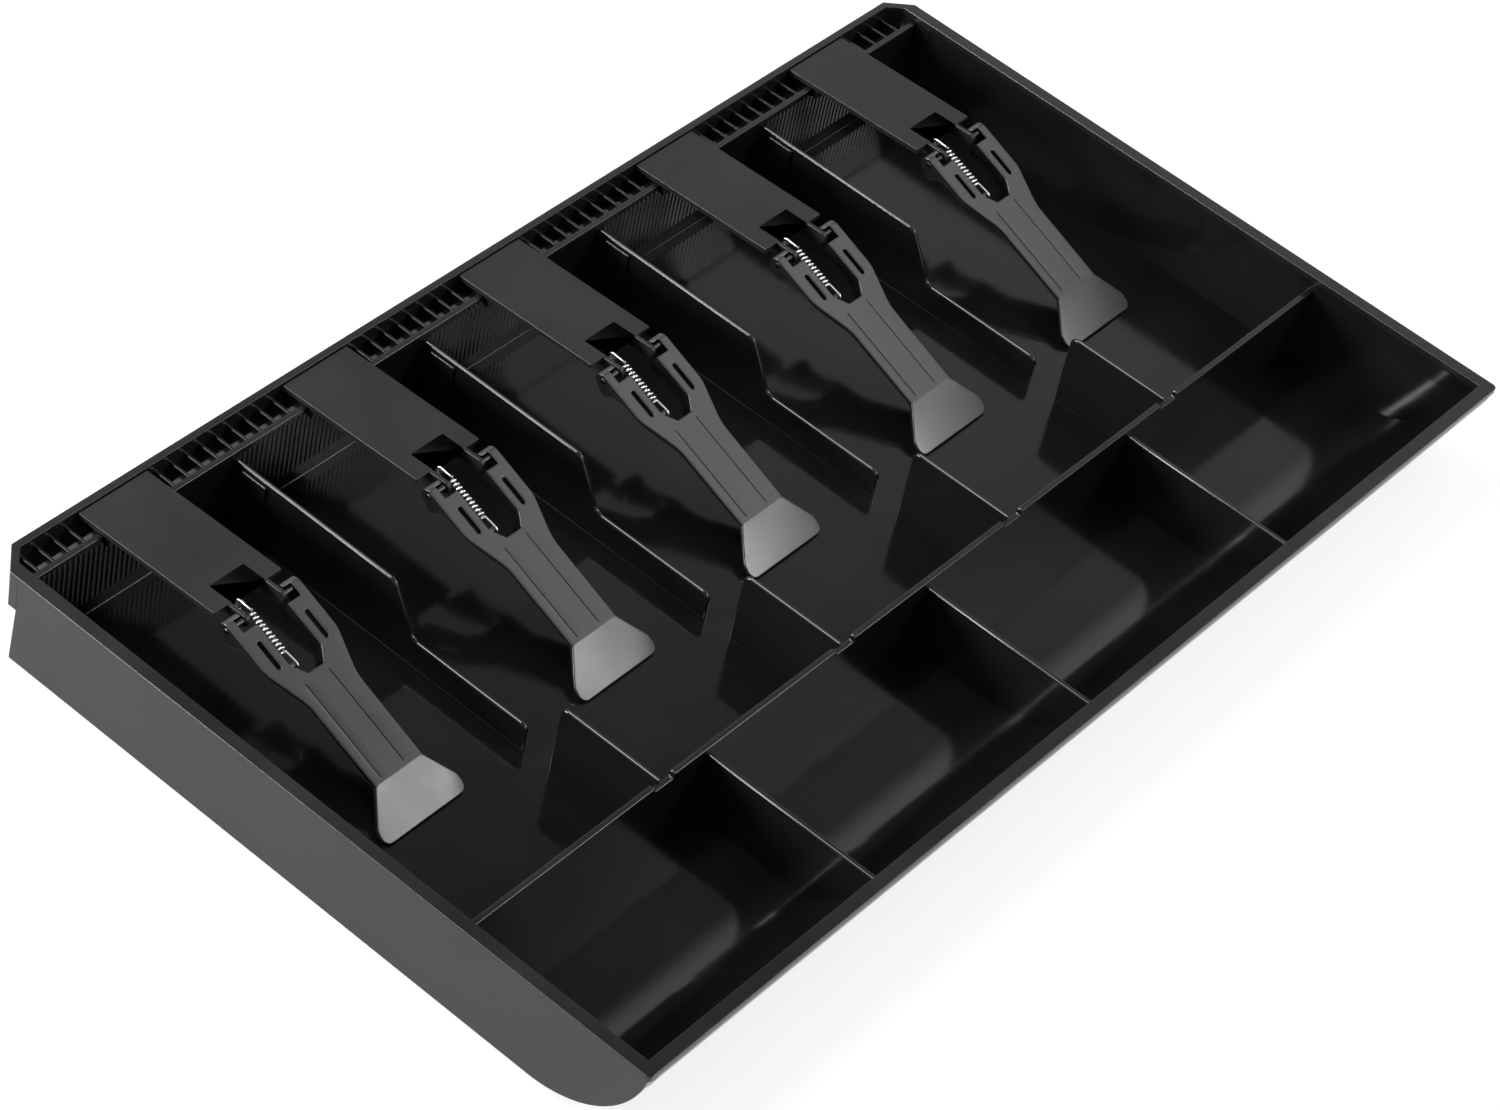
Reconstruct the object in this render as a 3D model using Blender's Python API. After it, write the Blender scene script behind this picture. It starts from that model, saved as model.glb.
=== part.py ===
"""Cash drawer insert: a moulded tray with five note bays, four coin cups and five sprung note clips.

Each clip has a bracket that grips the rail behind the note bays, a forked lever on two stub pins and
a small extension spring. Lengths are metres, +Z is up, +X runs along the tray, and the origin is the
middle of the footprint on the plane that the tray rests on. The note bays are behind the coin cups.
"""

import math

import bmesh
import bpy
import numpy as np
from mathutils import Matrix, Vector

MM = 0.001
DEGREE = math.pi / 180

# Tray: outside and walls
TRAY_LENGTH = 404.0 * MM
TRAY_DEPTH = 244.0 * MM
TRAY_HEIGHT = 33.0 * MM
FLOOR = 2.0 * MM
SIDE_RIM = 4.4 * MM
SIDE_LEAN = 2.2 * MM
SIDE_SKIRT = 1.6 * MM
SIDE_GROOVE_INSET = 6.0 * MM
INNER_WALL = 1.8 * MM
FRONT_RIM = 4.3 * MM
SCOOP_RUN = 33.0 * MM
LIP_DEPTH = 2.0 * MM
LIP_STEP = 0.5 * MM
CORNER_CUT = 7.7 * MM
FRONT_CORNER_RADIUS = 1.5 * MM

# Tray: rail, ladder of ribs and rear skirt
BACK_RIM = 2.4 * MM
CHANNEL = 8.2 * MM
RAIL = 2.0 * MM
RAIL_DROP = 2.3 * MM
RIB_DROP = 1.3 * MM
RIB = 1.0 * MM
RIB_PITCH = 5.815 * MM
FIRST_RIB = 4.5 * MM
REAR_SKIRT_DEPTH = 13.0 * MM
BACK_WALL_FLARE = 1.3 * MM

# Tray: coin cups
CUP_COUNT = 4
CUP_DEPTH = 67.0 * MM
CROSS_WALL = 2.0 * MM
CROSS_WALL_DROP = 4.8 * MM
CUP_DIVIDER = 1.8 * MM
CUP_DIVIDER_DROP = 7.0 * MM
NOTCH_LEFT = 3.5 * MM
NOTCH_RIGHT = 5.0 * MM
NOTCH_DEPTH = 1.7 * MM

# Tray: note bays
BAY_COUNT = 5
DIVIDER = 1.6 * MM
DIVIDER_DROP = 4.8 * MM
STUB_LENGTH = 35.5 * MM
STUB_RADIUS = 2.6 * MM
FINGER_GAP = 9.5 * MM
LOW_LENGTH = 44.5 * MM
LOW_DROP = 21.5 * MM
LOW_RADIUS = 3.0 * MM
SLOPE_RUN = 9.5 * MM
SLOPE_RADIUS = 3.5 * MM
PAD_LENGTH = 9.5 * MM
PAD_BACK = 4.0 * MM
PAD_DROP = 6.0 * MM
PAD_THICKNESS = 0.9 * MM

# Fits shared by all the pieces
CLEARANCE = 0.3 * MM
PIN_PLAY = 0.15 * MM
OVERRUN = 2.0 * MM
EMBED = 0.8 * MM

# Clip bracket
PLATE_WIDTH = 26.6 * MM
PLATE_LENGTH = 53.3 * MM
PLATE = 1.8 * MM
PLATE_TILT = 2.1 * DEGREE
NOTCH_WIDTH = 13.0 * MM
NOTCH_LENGTH = 8.3 * MM
EAR = 1.4 * MM
EAR_DEPTH = 4.6 * MM
EAR_RADIUS = 2.3 * MM
EAR_STEP = 0.2 * MM
RAIL_HOOK = 1.5 * MM
RAIL_HOOK_DEPTH = 4.0 * MM
LEG = 1.8 * MM
LEG_WIDTH = 3.4 * MM
LEG_DEPTH = 9.0 * MM
PIVOT_REACH = 6.0 * MM
PIVOT_DROP = 2.0 * MM
PEG_BACK = 4.7 * MM
PEG_RISE = 0.6 * MM
PEG_RADIUS = 0.9 * MM
PEG_LENGTH = 3.4 * MM

# Hinge pins
PIN_RADIUS = 1.0 * MM
PIN_PROUD = 0.4 * MM
PIN_BEVEL = 0.3 * MM

# Clip lever, with its reaches taken from the pivot towards the foot
SHEET = 1.8 * MM
SHEET_RISE = 1.7 * MM
ARM_REACH = 59.0 * MM
ARM_WIDTH = 18.8 * MM
WAIST_REACH = 30.3 * MM
WAIST_WIDTH = 19.0 * MM
WAIST_RADIUS = 14.0 * MM
KNEE_REACH = 16.5 * MM
KNEE_RADIUS = 6.0 * MM
FORK_WIDTH = 28.4 * MM
FORK_GAP = 12.2 * MM
WINDOW_REACH = 3.2 * MM
WINDOW_BACK = 1.3 * MM
CHEEK = 3.0 * MM
HEAD_GAP = 16.8 * MM
HUB_RADIUS = 2.5 * MM
HUB_BACK = 0.4 * MM
HEEL_DEPTH = 6.3 * MM
HEEL_REACH = 1.2 * MM
HEEL = 2.2 * MM
CHEEK_REACH = 13.0 * MM
CHEEK_SLOPE = 5.6 * MM
CHEEK_DEPTH = 3.3 * MM
CHEEK_WALL = 1.2 * MM
CHEEK_ROOF = 2.2 * MM
OPENING_SHOULDER_REACH = 18.0 * MM
OPENING_TIP_REACH = 22.5 * MM
OPENING_TIP_WIDTH = 6.0 * MM
OPENING_WALL = 1.2 * MM
OPENING_WALL_DEPTH = 6.0 * MM
SLOT_OFFSET = 9.4 * MM
SLOT_WIDTH = 1.5 * MM
SLOT_FRONT_REACH = 17.3 * MM
SLOT_BACK_REACH = 7.6 * MM
FOOT_LENGTH = 15.5 * MM
FOOT_BEND = 13.4 * DEGREE
FOOT_WIDTH = 33.0 * MM
FOOT_SHOULDER_REACH = 10.2 * MM
FOOT_SHOULDER_WIDTH = 32.4 * MM
FOOT_RADIUS = 3.0 * MM
FOOT_TIP = 0.7 * MM
BEND_RADIUS = 2.0 * MM

# Clip spring
WIRE_RADIUS = 0.275 * MM
COIL_RADIUS = 1.5 * MM
COIL_COUNT = 12
COIL_PITCH = 1.25 * MM
COIL_FRONT_GAP = 4.6 * MM
SPRING_OFFSET = 4.0 * MM
LOWER_PEG_REACH = 18.2 * MM
LOWER_PEG_DEPTH = 1.5 * MM
CURL_POINTS = 8
HOOK_SWEEP = 215 * DEGREE

# Fineness of the round stretches
FILLET_STEPS = 5
SCOOP_STEPS = 14
ROUND_SIDES = 20

# Planes and places worked out from the sizes above
FRONT_Y = -TRAY_DEPTH / 2
BACK_Y = TRAY_DEPTH / 2
SIDE_X = TRAY_LENGTH / 2
INNER_X = SIDE_X - SIDE_RIM
CHANNEL_BACK_Y = BACK_Y - BACK_RIM
RAIL_BACK_Y = CHANNEL_BACK_Y - CHANNEL
RAIL_FRONT_Y = RAIL_BACK_Y - RAIL
RAIL_Z = TRAY_HEIGHT - RAIL_DROP
RIB_Z = RAIL_Z - RIB_DROP
SCOOP_FRONT_Y = FRONT_Y + FRONT_RIM
SCOOP_FOOT_Y = SCOOP_FRONT_Y + SCOOP_RUN
CROSS_FRONT_Y = FRONT_Y + CUP_DEPTH
CROSS_BACK_Y = CROSS_FRONT_Y + CROSS_WALL
STUB_BACK_Y = CROSS_BACK_Y + STUB_LENGTH
LOW_FRONT_Y = STUB_BACK_Y + FINGER_GAP
SLOPE_FOOT_Y = LOW_FRONT_Y + LOW_LENGTH
BAY_PITCH = 2 * INNER_X / BAY_COUNT
CUP_PITCH = 2 * INNER_X / CUP_COUNT
FIRST_RIB_X = -INNER_X + FIRST_RIB
RIB_COUNT = 1 + math.floor((2 * INNER_X - 2 * FIRST_RIB) / RIB_PITCH)
PLATE_BACK_Y = CHANNEL_BACK_Y - CLEARANCE
PLATE_FRONT_Y = PLATE_BACK_Y - PLATE_LENGTH
RAIL_MIDDLE_Y = (RAIL_FRONT_Y + RAIL_BACK_Y) / 2
PIVOT_Y = PLATE_FRONT_Y - PIVOT_REACH
EAR_INNER_X = NOTCH_WIDTH / 2
EAR_OUTER_X = EAR_INNER_X + EAR
CHEEK_OUTER_X = FORK_WIDTH / 2
CHEEK_INNER_X = CHEEK_OUTER_X - CHEEK
FORK_INNER_X = FORK_GAP / 2


def plate_top(y):
    """Height of the bracket plate's sloping top over the place y."""
    seat = RAIL_Z + CLEARANCE + PLATE
    return seat + (RAIL_MIDDLE_Y - y) * math.tan(PLATE_TILT)


PIVOT_Z = plate_top(PIVOT_Y) - PIVOT_DROP


def arc(centre, radius, start, end, steps):
    """Points of an arc in a plane, from the angle start to the angle end."""
    angles = np.linspace(start, end, steps + 1)
    return [Vector((centre[0] + radius * math.cos(a), centre[1] + radius * math.sin(a))) for a in angles]


def rounded(corners):
    """Outline of a polygon whose corners are (a, b, radius), with an arc at each radius above zero."""
    points = []
    for index, (a, b, radius) in enumerate(corners):
        corner = Vector((a, b))
        if radius == 0:
            points.append(corner)
            continue
        before = (Vector(corners[index - 1][:2]) - corner).normalized()
        after = (Vector(corners[(index + 1) % len(corners)][:2]) - corner).normalized()
        half = before.angle(after) / 2
        centre = corner + (before + after).normalized() * radius / math.sin(half)
        start = corner + before * radius / math.tan(half) - centre
        end = corner + after * radius / math.tan(half) - centre
        start_angle = math.atan2(start.y, start.x)
        sweep = math.atan2(start.cross(end), start.dot(end))
        points += arc(centre, radius, start_angle, start_angle + sweep, FILLET_STEPS)
    return points


def mirrored(points):
    """The same outline on the other side of the middle line, in the same turning sense."""
    return [Vector((-point.x, point.y)) for point in reversed(points)]


def prism(outline, low, high, axis):
    """Closed solid: an outline extruded from low to high along X, Y or Z."""
    places = {"X": lambda a, b, c: Vector((c, a, b)),
              "Y": lambda a, b, c: Vector((a, c, b)),
              "Z": lambda a, b, c: Vector((a, b, c))}
    place = places[axis]
    shape = bmesh.new()
    face = shape.faces.new([shape.verts.new(place(p[0], p[1], low)) for p in outline])
    grown = bmesh.ops.extrude_face_region(shape, geom=[face])
    far = [item for item in grown["geom"] if isinstance(item, bmesh.types.BMVert)]
    bmesh.ops.translate(shape, verts=far, vec=place(0, 0, high - low))
    bmesh.ops.recalc_face_normals(shape, faces=shape.faces)
    return shape


def block(x, y, z):
    """Box between two values along each axis."""
    corners = [(x[0], y[0]), (x[1], y[0]), (x[1], y[1]), (x[0], y[1])]
    return prism(corners, z[0], z[1], "Z")


def rod(centre, radius, low, high):
    """Round bar along X, its centre given in Y and Z."""
    outline = arc(centre, radius, 0, 2 * math.pi, ROUND_SIDES)[:-1]
    return prism(outline, low, high, "X")


def joined(shapes):
    """One mesh that holds several solids that don't meet."""
    whole = bmesh.new()
    for shape in shapes:
        piece = bpy.data.meshes.new("piece")
        shape.to_mesh(piece)
        shape.free()
        whole.from_mesh(piece)
        bpy.data.meshes.remove(piece)
    return whole


def add_object(name, mesh):
    """Object in the scene for a mesh."""
    item = bpy.data.objects.new(name, mesh)
    bpy.context.scene.collection.objects.link(item)
    return item


def shape_object(name, shape):
    """Object in the scene for a shape, which is used up."""
    mesh = bpy.data.meshes.new(name)
    shape.to_mesh(mesh)
    shape.free()
    return add_object(name, mesh)


def worked(name, base, steps):
    """Mesh made from a base shape by steps of (operation, shape), each a Boolean with the exact solver."""
    body = shape_object(name, base)
    tools = []
    for operation, shape in steps:
        tool = shape_object(name + "_tool", shape)
        tool.hide_render = True
        tool.display_type = "WIRE"
        modifier = body.modifiers.new(operation, "BOOLEAN")
        modifier.operation = operation
        modifier.solver = "EXACT"
        modifier.object = tool
        tools.append(tool)
    bpy.context.view_layer.update()
    mesh = bpy.data.meshes.new_from_object(body.evaluated_get(bpy.context.evaluated_depsgraph_get()))
    mesh.name = name
    for item in tools + [body]:
        used = item.data
        bpy.data.objects.remove(item)
        bpy.data.meshes.remove(used)
    return mesh


def material(name, colour, roughness, metallic):
    """Principled material."""
    made = bpy.data.materials.new(name)
    made.use_nodes = True
    shader = made.node_tree.nodes["Principled BSDF"]
    shader.inputs["Base Color"].default_value = (*colour, 1)
    shader.inputs["Roughness"].default_value = roughness
    shader.inputs["Metallic"].default_value = metallic
    return made


def scoop_arc(start_y, start_z, foot_y, foot_z, steps):
    """Arc that falls from a starting point and runs out level at its foot."""
    run = foot_y - start_y
    fall = start_z - foot_z
    radius = (run * run + fall * fall) / (2 * fall)
    centre = (foot_y, foot_z + radius)
    start_angle = math.atan2(start_z - centre[1], -run)
    if start_angle > 0:
        start_angle -= 2 * math.pi
    return arc(centre, radius, start_angle, -math.pi / 2, steps)


def lean_ends(shape, inset):
    """Bring the two ends of a solid along X to the leaning side walls, inset from their inner faces."""
    for vert in shape.verts:
        side = math.copysign(1, vert.co.x)
        lean = SIDE_LEAN * (TRAY_HEIGHT - vert.co.z) / (TRAY_HEIGHT - FLOOR)
        vert.co.x = side * (INNER_X - inset - lean)
    return shape


def tray_shell():
    """Outside of the tray as one profile along X: lip, rounded front, base, back wall and rear skirt."""
    lip_z = TRAY_HEIGHT - LIP_DEPTH
    front = scoop_arc(FRONT_Y + LIP_STEP, lip_z, SCOOP_FOOT_Y, 0, SCOOP_STEPS)
    skirt_z = TRAY_HEIGHT - REAR_SKIRT_DEPTH
    outline = [Vector((FRONT_Y, TRAY_HEIGHT)), Vector((FRONT_Y, lip_z))] + front
    outline += [Vector((RAIL_BACK_Y + BACK_WALL_FLARE, 0)), Vector((RAIL_BACK_Y, skirt_z)),
                Vector((BACK_Y, skirt_z)), Vector((BACK_Y, TRAY_HEIGHT))]
    return prism(outline, -SIDE_X, SIDE_X, "X")


def tray_corners():
    """Cutters for the two cut back corners and the two softened front corners."""
    over = OVERRUN
    cut = CORNER_CUT
    radius = FRONT_CORNER_RADIUS
    back = [Vector((SIDE_X - cut, BACK_Y)), Vector((SIDE_X, BACK_Y - cut)),
            Vector((SIDE_X + over, BACK_Y - cut)), Vector((SIDE_X + over, BACK_Y + over)),
            Vector((SIDE_X - cut, BACK_Y + over))]
    centre = (SIDE_X - radius, FRONT_Y + radius)
    front = arc(centre, radius, 0, -math.pi / 2, FILLET_STEPS)
    front += [Vector((SIDE_X - radius, FRONT_Y - over)), Vector((SIDE_X + over, FRONT_Y - over)),
              Vector((SIDE_X + over, FRONT_Y + radius))]
    outlines = [back, mirrored(back), front, mirrored(front)]
    return joined([prism(outline, -over, TRAY_HEIGHT + over, "Z") for outline in outlines])


def tray_hollow():
    """Space inside the walls, with the front scoop and the leaning side walls."""
    top = TRAY_HEIGHT + OVERRUN
    scoop = scoop_arc(SCOOP_FRONT_Y, TRAY_HEIGHT, SCOOP_FOOT_Y, FLOOR, SCOOP_STEPS)
    outline = [Vector((SCOOP_FRONT_Y, top))] + scoop
    outline += [Vector((RAIL_FRONT_Y, FLOOR)), Vector((RAIL_FRONT_Y, top))]
    return lean_ends(prism(outline, -INNER_X, INNER_X, "X"), 0)


def channel_hollow():
    """Open channel over the rail and the ribs, with its back corners cut like the tray's."""
    top = TRAY_HEIGHT + OVERRUN
    over_rail = block((-INNER_X, INNER_X), (RAIL_FRONT_Y - EMBED, RAIL_BACK_Y), (RAIL_Z, top))
    wall = BACK_RIM * math.sqrt(2)
    cut_x = SIDE_X - CORNER_CUT - wall + BACK_RIM
    cut_y = BACK_Y - CORNER_CUT - wall + SIDE_RIM
    half = [Vector((INNER_X, RAIL_BACK_Y)), Vector((INNER_X, cut_y)), Vector((cut_x, CHANNEL_BACK_Y))]
    behind_rail = prism(half + mirrored(half), RIB_Z, top, "Z")
    return over_rail, behind_rail


def ladder_slots():
    """The slots between the ribs, right through the floor of the channel."""
    low = TRAY_HEIGHT - REAR_SKIRT_DEPTH - OVERRUN
    slots = []
    for index in range(RIB_COUNT - 1):
        left = rib_x(index) + RIB / 2
        right = rib_x(index + 1) - RIB / 2
        slots.append(block((left, right), (RAIL_BACK_Y, CHANNEL_BACK_Y), (low, RIB_Z + EMBED)))
    return joined(slots)


def rib_x(index):
    """Middle of a rib of the ladder."""
    return FIRST_RIB_X + index * RIB_PITCH


def cross_wall():
    """Wall between the note bays and the coin cups."""
    outline = [Vector((CROSS_FRONT_Y, FLOOR - EMBED)), Vector((CROSS_BACK_Y, FLOOR - EMBED)),
               Vector((CROSS_BACK_Y, TRAY_HEIGHT - CROSS_WALL_DROP)),
               Vector((CROSS_FRONT_Y, TRAY_HEIGHT - CROSS_WALL_DROP))]
    return lean_ends(prism(outline, -INNER_X, INNER_X, "X"), -EMBED)


def cup_divider(x):
    """Wall between two coin cups, down the front scoop."""
    top = TRAY_HEIGHT - CUP_DIVIDER_DROP
    inside = CROSS_FRONT_Y + CROSS_WALL / 2
    scoop = scoop_arc(SCOOP_FRONT_Y - EMBED, TRAY_HEIGHT, SCOOP_FOOT_Y, FLOOR - EMBED, SCOOP_STEPS)
    curve = [point for point in scoop if point.y < top]
    outline = [Vector((curve[0].x, top))] + curve
    outline += [Vector((inside, FLOOR - EMBED)), Vector((inside, top))]
    return prism(outline, x - CUP_DIVIDER / 2, x + CUP_DIVIDER / 2, "X")


def note_divider(x):
    """Wall between two note bays: a stub, a finger gap, and a low part that steps up to the back."""
    sides = (x - DIVIDER / 2, x + DIVIDER / 2)
    base = FLOOR - EMBED
    top = TRAY_HEIGHT - DIVIDER_DROP
    low_top = TRAY_HEIGHT - LOW_DROP
    inside = CROSS_BACK_Y - CROSS_WALL / 2
    stub = rounded([(inside, base, 0), (STUB_BACK_Y, base, 0), (STUB_BACK_Y, top, STUB_RADIUS),
                    (inside, top, 0)])
    back = RAIL_FRONT_Y + RAIL / 2
    rear = rounded([(LOW_FRONT_Y, base, 0), (back, base, 0), (back, top, 0),
                    (SLOPE_FOOT_Y + SLOPE_RUN, top, SLOPE_RADIUS), (SLOPE_FOOT_Y, low_top, SLOPE_RADIUS),
                    (LOW_FRONT_Y, low_top, LOW_RADIUS)])
    return prism(stub, *sides, "X"), prism(rear, *sides, "X")


def divider_pad(x):
    """Thickened stretch on the left of a note divider, near the rail."""
    back = RAIL_FRONT_Y - PAD_BACK
    left = x - DIVIDER / 2 - PAD_THICKNESS
    return block((left, x), (back - PAD_LENGTH, back), (FLOOR - EMBED, TRAY_HEIGHT - PAD_DROP))


def cross_notches():
    """Shallow notches in the cross wall where the note dividers meet it."""
    top = TRAY_HEIGHT - CROSS_WALL_DROP
    across = (CROSS_FRONT_Y - EMBED, CROSS_BACK_Y)
    return joined([block((x - NOTCH_LEFT, x + NOTCH_RIGHT), across, (top - NOTCH_DEPTH, top + OVERRUN))
                   for x in note_divider_places()])


def note_divider_places():
    """Places of the note dividers along X."""
    return [-INNER_X + BAY_PITCH * index for index in range(1, BAY_COUNT)]


def side_grooves():
    """Hollow of each side wall, open below, between the outer skirt and the leaning inner wall."""
    lean = SIDE_LEAN * (TRAY_HEIGHT + OVERRUN) / (TRAY_HEIGHT - FLOOR)
    outer = SIDE_X - SIDE_SKIRT
    roof = TRAY_HEIGHT - SIDE_RIM
    roof_inner = INNER_X - SIDE_LEAN * SIDE_RIM / (TRAY_HEIGHT - FLOOR) + INNER_WALL
    half = [Vector((outer, -OVERRUN)), Vector((outer, roof)), Vector((roof_inner, roof)),
            Vector((INNER_X - lean + INNER_WALL, -OVERRUN))]
    ends = (SCOOP_FOOT_Y + SIDE_GROOVE_INSET, RAIL_FRONT_Y - SIDE_GROOVE_INSET)
    return joined([prism(outline, *ends, "Y") for outline in (half, mirrored(half))])


def tray_mesh():
    """The moulded tray: shell, hollow, dividers, channel and grooves."""
    over_rail, behind_rail = channel_hollow()
    steps = [("DIFFERENCE", tray_corners()), ("DIFFERENCE", tray_hollow()), ("UNION", cross_wall())]
    cups = [-INNER_X + CUP_PITCH * index for index in range(1, CUP_COUNT)]
    steps += [("UNION", joined([cup_divider(x) for x in cups]))]
    stubs, rears = zip(*[note_divider(x) for x in note_divider_places()])
    steps += [("UNION", joined(stubs + rears)),
              ("UNION", joined([divider_pad(x) for x in note_divider_places()])),
              ("DIFFERENCE", cross_notches()), ("DIFFERENCE", over_rail), ("DIFFERENCE", behind_rail),
              ("DIFFERENCE", ladder_slots()), ("DIFFERENCE", side_grooves())]
    return worked("tray", tray_shell(), steps)


def from_pivot(y, z):
    """A place in the tray's Y and Z as seen from the hinge axis of a clip."""
    return Vector((y - PIVOT_Y, z - PIVOT_Z))


def bracket_plate():
    """Sloping plate of the bracket, over the rail."""
    ends = (PLATE_FRONT_Y, PLATE_BACK_Y)
    outline = [from_pivot(y, plate_top(y) - PLATE) for y in ends]
    outline += [from_pivot(y, plate_top(y)) for y in reversed(ends)]
    return prism(outline, -PLATE_WIDTH / 2, PLATE_WIDTH / 2, "X")


def bracket_ear(side):
    """Wall under the plate that runs forward past it and ends in a round ear about the hinge axis."""
    back_y = RAIL_FRONT_Y - CLEARANCE - RAIL_HOOK / 2
    top_back = from_pivot(back_y, plate_top(back_y) - EAR_STEP)
    top_front = from_pivot(PIVOT_Y, plate_top(PIVOT_Y) - EAR_STEP)
    foot = -EAR_DEPTH + PIVOT_DROP
    nose = arc((0, 0), top_front.y, math.pi / 2, math.pi, FILLET_STEPS)
    outline = [top_back] + nose
    outline += [Vector((-top_front.y, foot + EAR_RADIUS)), Vector((-top_front.y + EAR_RADIUS, foot)),
                Vector((top_back.x, foot + top_back.y - top_front.y))]
    edges = sorted((side * EAR_INNER_X, side * EAR_OUTER_X))
    return prism(outline, *edges, "X")


def rail_hook():
    """Lip under the plate, in front of the rail."""
    back = RAIL_FRONT_Y - CLEARANCE
    under = plate_top(back) - PLATE
    low = from_pivot(back - RAIL_HOOK, under - RAIL_HOOK_DEPTH)
    high = from_pivot(back, plate_top(back) - PLATE / 2)
    return block((-PLATE_WIDTH / 2 + EMBED, PLATE_WIDTH / 2 - EMBED), (low.x, high.x), (low.y, high.y))


def bracket_legs():
    """Two tapered legs that go down behind the rail, one on each side of a rib."""
    front = RAIL_BACK_Y + CLEARANCE
    top_z = plate_top(front) - PLATE / 2
    low_z = top_z - LEG_DEPTH
    outline = [from_pivot(front, top_z), from_pivot(front, low_z), from_pivot(front + LEG / 2, low_z),
               from_pivot(front + LEG, low_z + LEG), from_pivot(front + LEG, top_z)]
    legs = []
    for side in (-1, 1):
        middle = side * RIB_PITCH / 2
        legs.append(prism(outline, middle - LEG_WIDTH / 2, middle + LEG_WIDTH / 2, "X"))
    return joined(legs)


def bracket_mesh():
    """Bracket seen from its hinge axis: plate with a notch, ears, rail hook, legs and spring peg."""
    notch_back = from_pivot(PLATE_FRONT_Y + NOTCH_LENGTH, 0).x
    notch_front = from_pivot(PLATE_FRONT_Y - OVERRUN, 0).x
    tall = (-TRAY_HEIGHT, TRAY_HEIGHT)
    notch = block((-EAR_INNER_X, EAR_INNER_X), (notch_front, notch_back), tall)
    peg = rod((PEG_BACK, PEG_RISE), PEG_RADIUS, -EAR_INNER_X - EAR / 2, -EAR_INNER_X + PEG_LENGTH)
    bores = rod((0, 0), PIN_RADIUS + PIN_PLAY, -EAR_OUTER_X - OVERRUN, EAR_OUTER_X + OVERRUN)
    steps = [("DIFFERENCE", notch), ("UNION", joined([bracket_ear(-1), bracket_ear(1)])),
             ("UNION", rail_hook()), ("UNION", bracket_legs()), ("UNION", peg), ("DIFFERENCE", bores)]
    return worked("clip_bracket", bracket_plate(), steps)


def lever_profile():
    """Side of the lever's sheet in its own frame: level arm, bend at the crease and thinning foot."""
    top = SHEET_RISE
    along = Vector((-math.cos(FOOT_BEND), -math.sin(FOOT_BEND)))
    under = Vector((math.sin(FOOT_BEND), -math.cos(FOOT_BEND)))
    crease = Vector((-ARM_REACH, top))
    tip = crease + along * FOOT_LENGTH
    tip_low = tip + under * FOOT_TIP
    inner_crease = Vector((-ARM_REACH + SHEET * math.tan(FOOT_BEND / 2), top - SHEET))
    corners = [(HUB_BACK, top, 0), (crease.x, crease.y, BEND_RADIUS + SHEET), (tip.x, tip.y, 0),
               (tip_low.x, tip_low.y, 0), (inner_crease.x, inner_crease.y, BEND_RADIUS),
               (HUB_BACK, top - SHEET, 0)]
    return rounded(corners), tip_low


def lever_plan():
    """Outline of the lever seen square to its arm: fork, knees, waist and flared foot."""
    foot_share = math.cos(FOOT_BEND)
    shoulder_y = -ARM_REACH - FOOT_SHOULDER_REACH * foot_share
    tip_y = -ARM_REACH - FOOT_LENGTH * foot_share
    right = [(FOOT_WIDTH / 2, tip_y, FOOT_RADIUS), (FOOT_SHOULDER_WIDTH / 2, shoulder_y, FOOT_RADIUS),
             (ARM_WIDTH / 2, -ARM_REACH, 0), (WAIST_WIDTH / 2, -WAIST_REACH, WAIST_RADIUS),
             (CHEEK_OUTER_X, -KNEE_REACH, KNEE_RADIUS), (CHEEK_OUTER_X, HUB_BACK, 0)]
    left = [(-x, y, radius) for x, y, radius in reversed(right)]
    return rounded(right + left)


def opening_plan(grow, back):
    """Hexagonal end of the opening between the fork's arms, grown by a wall, as a chain of points."""
    lean = math.atan2(OPENING_TIP_REACH - OPENING_SHOULDER_REACH, FORK_INNER_X - OPENING_TIP_WIDTH / 2)
    tip_grow = grow * math.tan(lean / 2)
    shoulder_grow = grow * math.tan((math.pi / 2 - lean) / 2)
    right = [Vector((OPENING_TIP_WIDTH / 2 + tip_grow, -OPENING_TIP_REACH - grow)),
             Vector((FORK_INNER_X + grow, -OPENING_SHOULDER_REACH - shoulder_grow)),
             Vector((FORK_INNER_X + grow, back))]
    return right + mirrored(right)


def cheek_outline():
    """Side of a fork cheek: level top, round hub, a heel that points down and a slope up to the front."""
    hub = arc((HUB_BACK, SHEET_RISE - HUB_RADIUS), HUB_RADIUS, -math.pi / 2, math.pi / 2, 2 * FILLET_STEPS)
    heel_z = SHEET_RISE - HEEL_DEPTH
    return hub + [Vector((-CHEEK_REACH, SHEET_RISE)), Vector((-CHEEK_REACH, SHEET_RISE - SHEET / 2)),
                  Vector((-CHEEK_SLOPE, SHEET_RISE - CHEEK_DEPTH)),
                  Vector((-HEEL_REACH - HEEL, heel_z)), Vector((-HEEL_REACH, heel_z))]


def fork_cuts():
    """Cutters between the fork's arms: windows about the pins, gap to the ears and hollows underneath."""
    tall = (-HEEL_DEPTH - OVERRUN, SHEET_RISE + OVERRUN)
    back = HUB_BACK + HUB_RADIUS + OVERRUN
    under = (tall[0], SHEET_RISE - CHEEK_ROOF)
    window = block((-CHEEK_INNER_X, CHEEK_INNER_X), (-WINDOW_REACH, WINDOW_BACK), tall)
    gap = block((-HEAD_GAP / 2, HEAD_GAP / 2), (0, back), tall)
    hollows = []
    for side in (-1, 1):
        edges = sorted((side * (FORK_INNER_X + OPENING_WALL), side * CHEEK_INNER_X))
        hollows.append(block(edges, (-CHEEK_REACH - OVERRUN, -WINDOW_REACH - CHEEK_WALL), under))
    return window, gap, joined(hollows)


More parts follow.
